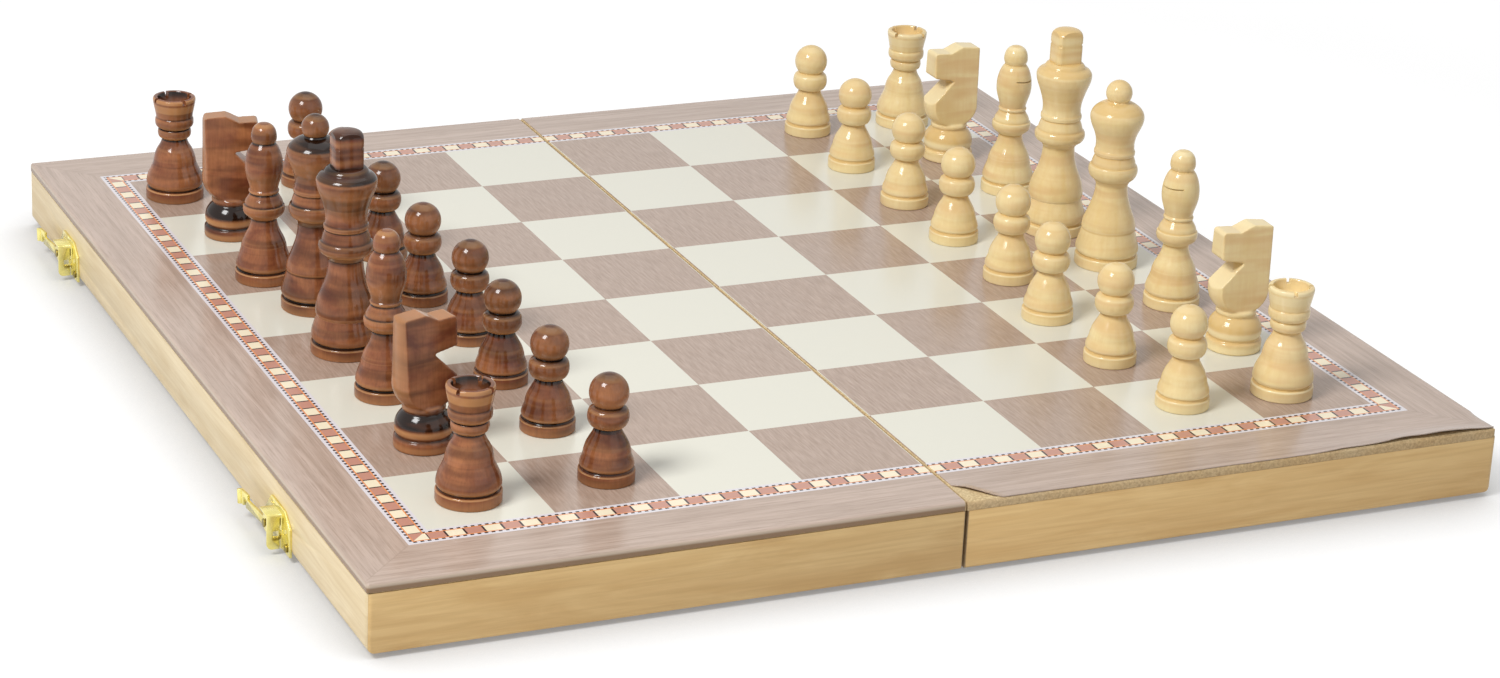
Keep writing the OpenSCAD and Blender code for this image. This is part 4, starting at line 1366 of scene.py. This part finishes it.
    def mark(self, mesh: Mesh, scorches: Sequence[Band], wears: Sequence[Band], rim: float = 0.0) -> None:
        """Gives a shape its scorch and wear by height, which sawing and sanding took away.

        Args:
            mesh: the shape, standing on the origin.
            scorches: its burnt bands.
            wears: its rubbed bands.
            rim: wear of what doesn't face sideways above the bands.
        """
        above = max(band[1] for band in (*scorches, *wears))
        for name, bands, edge in (("scorch", scorches, 0.0), ("wear", wears, rim)):
            if name in mesh.attributes:
                mesh.attributes.remove(mesh.attributes[name])
            values = []
            for vert in mesh.vertices:
                z = vert.co.z / MM
                in_bands = max(s * clamp(min(z - low, high - z) / self.fade_mm) for low, high, s in bands)
                values.append(edge * (1 - abs(vert.normal.y)) if z > above else in_bands)
            mesh.attributes.new(name, "FLOAT", "POINT").data.foreach_set("value", values)


# ---- brass ----


@dataclass
class Brasswork:
    """The catches, keepers and hinges."""

    finishes: Finishes
    ease_mm: float = 0.08
    screw_ease_mm: float = 0.03

    def build(self) -> None:
        """Dresses every brass piece."""
        polished, dull = self.finishes.brass, self.finishes.hinge_brass
        for node in ("front_catch_plate", "back_catch_plate", "front_catch_hook", "back_catch_hook",
                     "keeper_plates", "keeper_nails"):
            softened(node, f"brass_{node}", polished, self.ease_mm)
        # the pins' darker brass is partly painted shade in the catches
        softened("catch_pins", "steel_catch_pins", self.finishes.rivet_and_catch_shade, self.ease_mm)
        for node in ("front_hinge_left_leaf", "front_hinge_right_leaf", "back_hinge_left_leaf",
                     "back_hinge_right_leaf", "hinge_pins"):
            softened(node, f"brass_{node}", dull, self.ease_mm)
        for node in ("left_hinge_screws", "right_hinge_screws"):
            softened(node, f"brass_{node}", dull, self.screw_ease_mm)


# ---- studio ----


def seen(add: Add) -> Node:
    """Tells the rays that show the surroundings to the eye, by themselves or in gloss or glass.

    Args:
        add: adds a node to the tree.

    Returns:
        A node that gives 1 for them and 0 for the light on the object.
    """
    path = add("LightPath").outputs
    straight = add("Math MAXIMUM", path["Is Camera Ray"], path["Is Glossy Ray"])
    return add("Math MAXIMUM", straight, path["Is Transmission Ray"])


@dataclass
class Studio:
    """The white table, the lamps and the camera."""

    azimuth_deg: float = -24.78
    elevation_deg: float = 21.29
    roll_deg: float = 2.80
    target_mm: tuple[float, float, float] = (-9.3, -50.5, 24.7)
    distance_mm: float = 1374.6
    focal_px: float = 3970.0
    image_px: tuple[int, int] = (1500, 678)
    sensor_mm: float = 36.0
    sky: float = 0.3  # light from all round
    table_m: float = 6.0  # the table's radius
    table_gap_m: float = 0.0002  # how far it lies below the box
    shadow: float = 0.4  # share of the table's look that takes shadows
    lit: float = 1.09  # the table's whole look near the box, a little over white
    painted_contact_shadow: float = 0.36  # how dark the rest gets close under the box, in a painted contact shadow
    painted_contact_shadow_mm: float = 36.0
    near_m: float = 0.5  # the table glows up to full white between these distances
    far_m: float = 1.6

    def build(self) -> None:
        """Sets up the whole studio."""
        self.camera()
        self.table()
        self.world()
        for name, place_mm, size_mm, power in (("key from the left", (-900, -380, 1100), 480, 17.0),
                                               ("top", (150, 250, 1300), 1100, 3.0),
                                               ("front window", (500, -1300, 900), 1400, 3.0)):
            self.lamp(name, Vector(place_mm) * MM, size_mm * MM, power)

    def camera(self) -> None:
        """Stands the camera where the photograph was taken."""
        turn, rise, roll = (math.radians(a) for a in (self.azimuth_deg, self.elevation_deg, self.roll_deg))
        back = Vector((math.sin(turn) * math.cos(rise), -math.cos(turn) * math.cos(rise), math.sin(rise)))
        right = Vector((0, 0, 1)).cross(back).normalized()
        up = back.cross(right)
        cos, sin = math.cos(roll), math.sin(roll)
        axes = Matrix((right * cos + up * sin, up * cos - right * sin, back)).transposed()
        place = (Vector(self.target_mm) + back * self.distance_mm) * MM
        data = bpy.data.cameras.new("camera")
        data.sensor_fit = "HORIZONTAL"
        data.sensor_width = self.sensor_mm
        data.lens = self.focal_px / self.image_px[0] * self.sensor_mm
        data.clip_start = 0.05
        data.clip_end = 50.0
        obj = bpy.data.objects.new("camera", data)
        obj.matrix_world = Matrix.Translation(place) @ axes.to_4x4()
        bpy.context.scene.collection.objects.link(obj)
        bpy.context.scene.camera = obj

    def table(self) -> None:
        """Lays a white table that keeps a soft shadow and a painted contact shadow close under the box, and
        else shows pure white.
        """
        shape = bmesh.new()
        bmesh.ops.create_circle(shape, cap_ends=True, segments=96, radius=self.table_m,
                                matrix=Matrix.Translation((0, 0, CAD_BOX[0][2] - self.table_gap_m)))
        obj = new_object("table", mesh_of("table", shape))
        material, add, place = new_material("white paper sweep")
        soft = add("BsdfDiffuse", (*[self.shadow] * 3, 1.0))
        # painted contact shadow: ambient occlusion dims the glow close under the box
        contact_shadow_ao = add("AmbientOcclusion", samples=12, Distance=self.painted_contact_shadow_mm * MM)
        glow = self.lit - self.shadow
        away = add("VectorMath LENGTH", place).outputs["Value"]
        far_glow = add("MapRange", away, self.near_m, self.far_m, glow, 1.0)
        level = add("MapRange", contact_shadow_ao.outputs["AO"], 0.5, 1.0, self.painted_contact_shadow * glow, far_glow)
        both = add("AddShader", soft, add("Emission", (1.0, 1.0, 1.0, 1.0), level))
        plain = add("BsdfDiffuse", (0.8, 0.8, 0.8, 1.0))
        add("OutputMaterial", add("MixShader", seen(add), plain, both))
        obj.data.materials.append(material)

    def world(self) -> None:
        """Makes the surroundings white to the eye and a plain even light to the object."""
        world = bpy.data.worlds.new("studio")
        world.use_nodes = True
        world.node_tree.nodes.clear()
        add = partial(add_node, world.node_tree)
        strength = add("MapRange", seen(add), 0.0, 1.0, self.sky, 1.0)
        add("OutputWorld", add("Background", (1.0, 1.0, 1.0, 1.0), strength))
        bpy.context.scene.world = world
        bpy.context.scene.view_settings.view_transform = "Standard"

    def lamp(self, name: str, place: Vector, size: float, power: float) -> None:
        """Hangs a square soft lamp that looks at the middle of the board.

        Args:
            name: the lamp's name.
            place: where it hangs.
            size: its width.
            power: its power in watts.
        """
        data = bpy.data.lights.new(name, "AREA")
        data.size = size
        data.energy = power
        obj = bpy.data.objects.new(name, data)
        obj.matrix_world = Matrix.Translation(place) @ place.to_track_quat("Z", "Y").to_matrix().to_4x4()
        bpy.context.scene.collection.objects.link(obj)


def main() -> None:
    """Builds the studio and the whole box."""
    logging.basicConfig(level=logging.INFO, format="%(message)s")
    Studio().build()
    finishes = Finishes()
    for side in Side:
        BoardHalf(side, finishes).build()
    Brasswork(finishes).build()
    ChessSet(finishes).build()


if __name__ == "__main__":
    main()
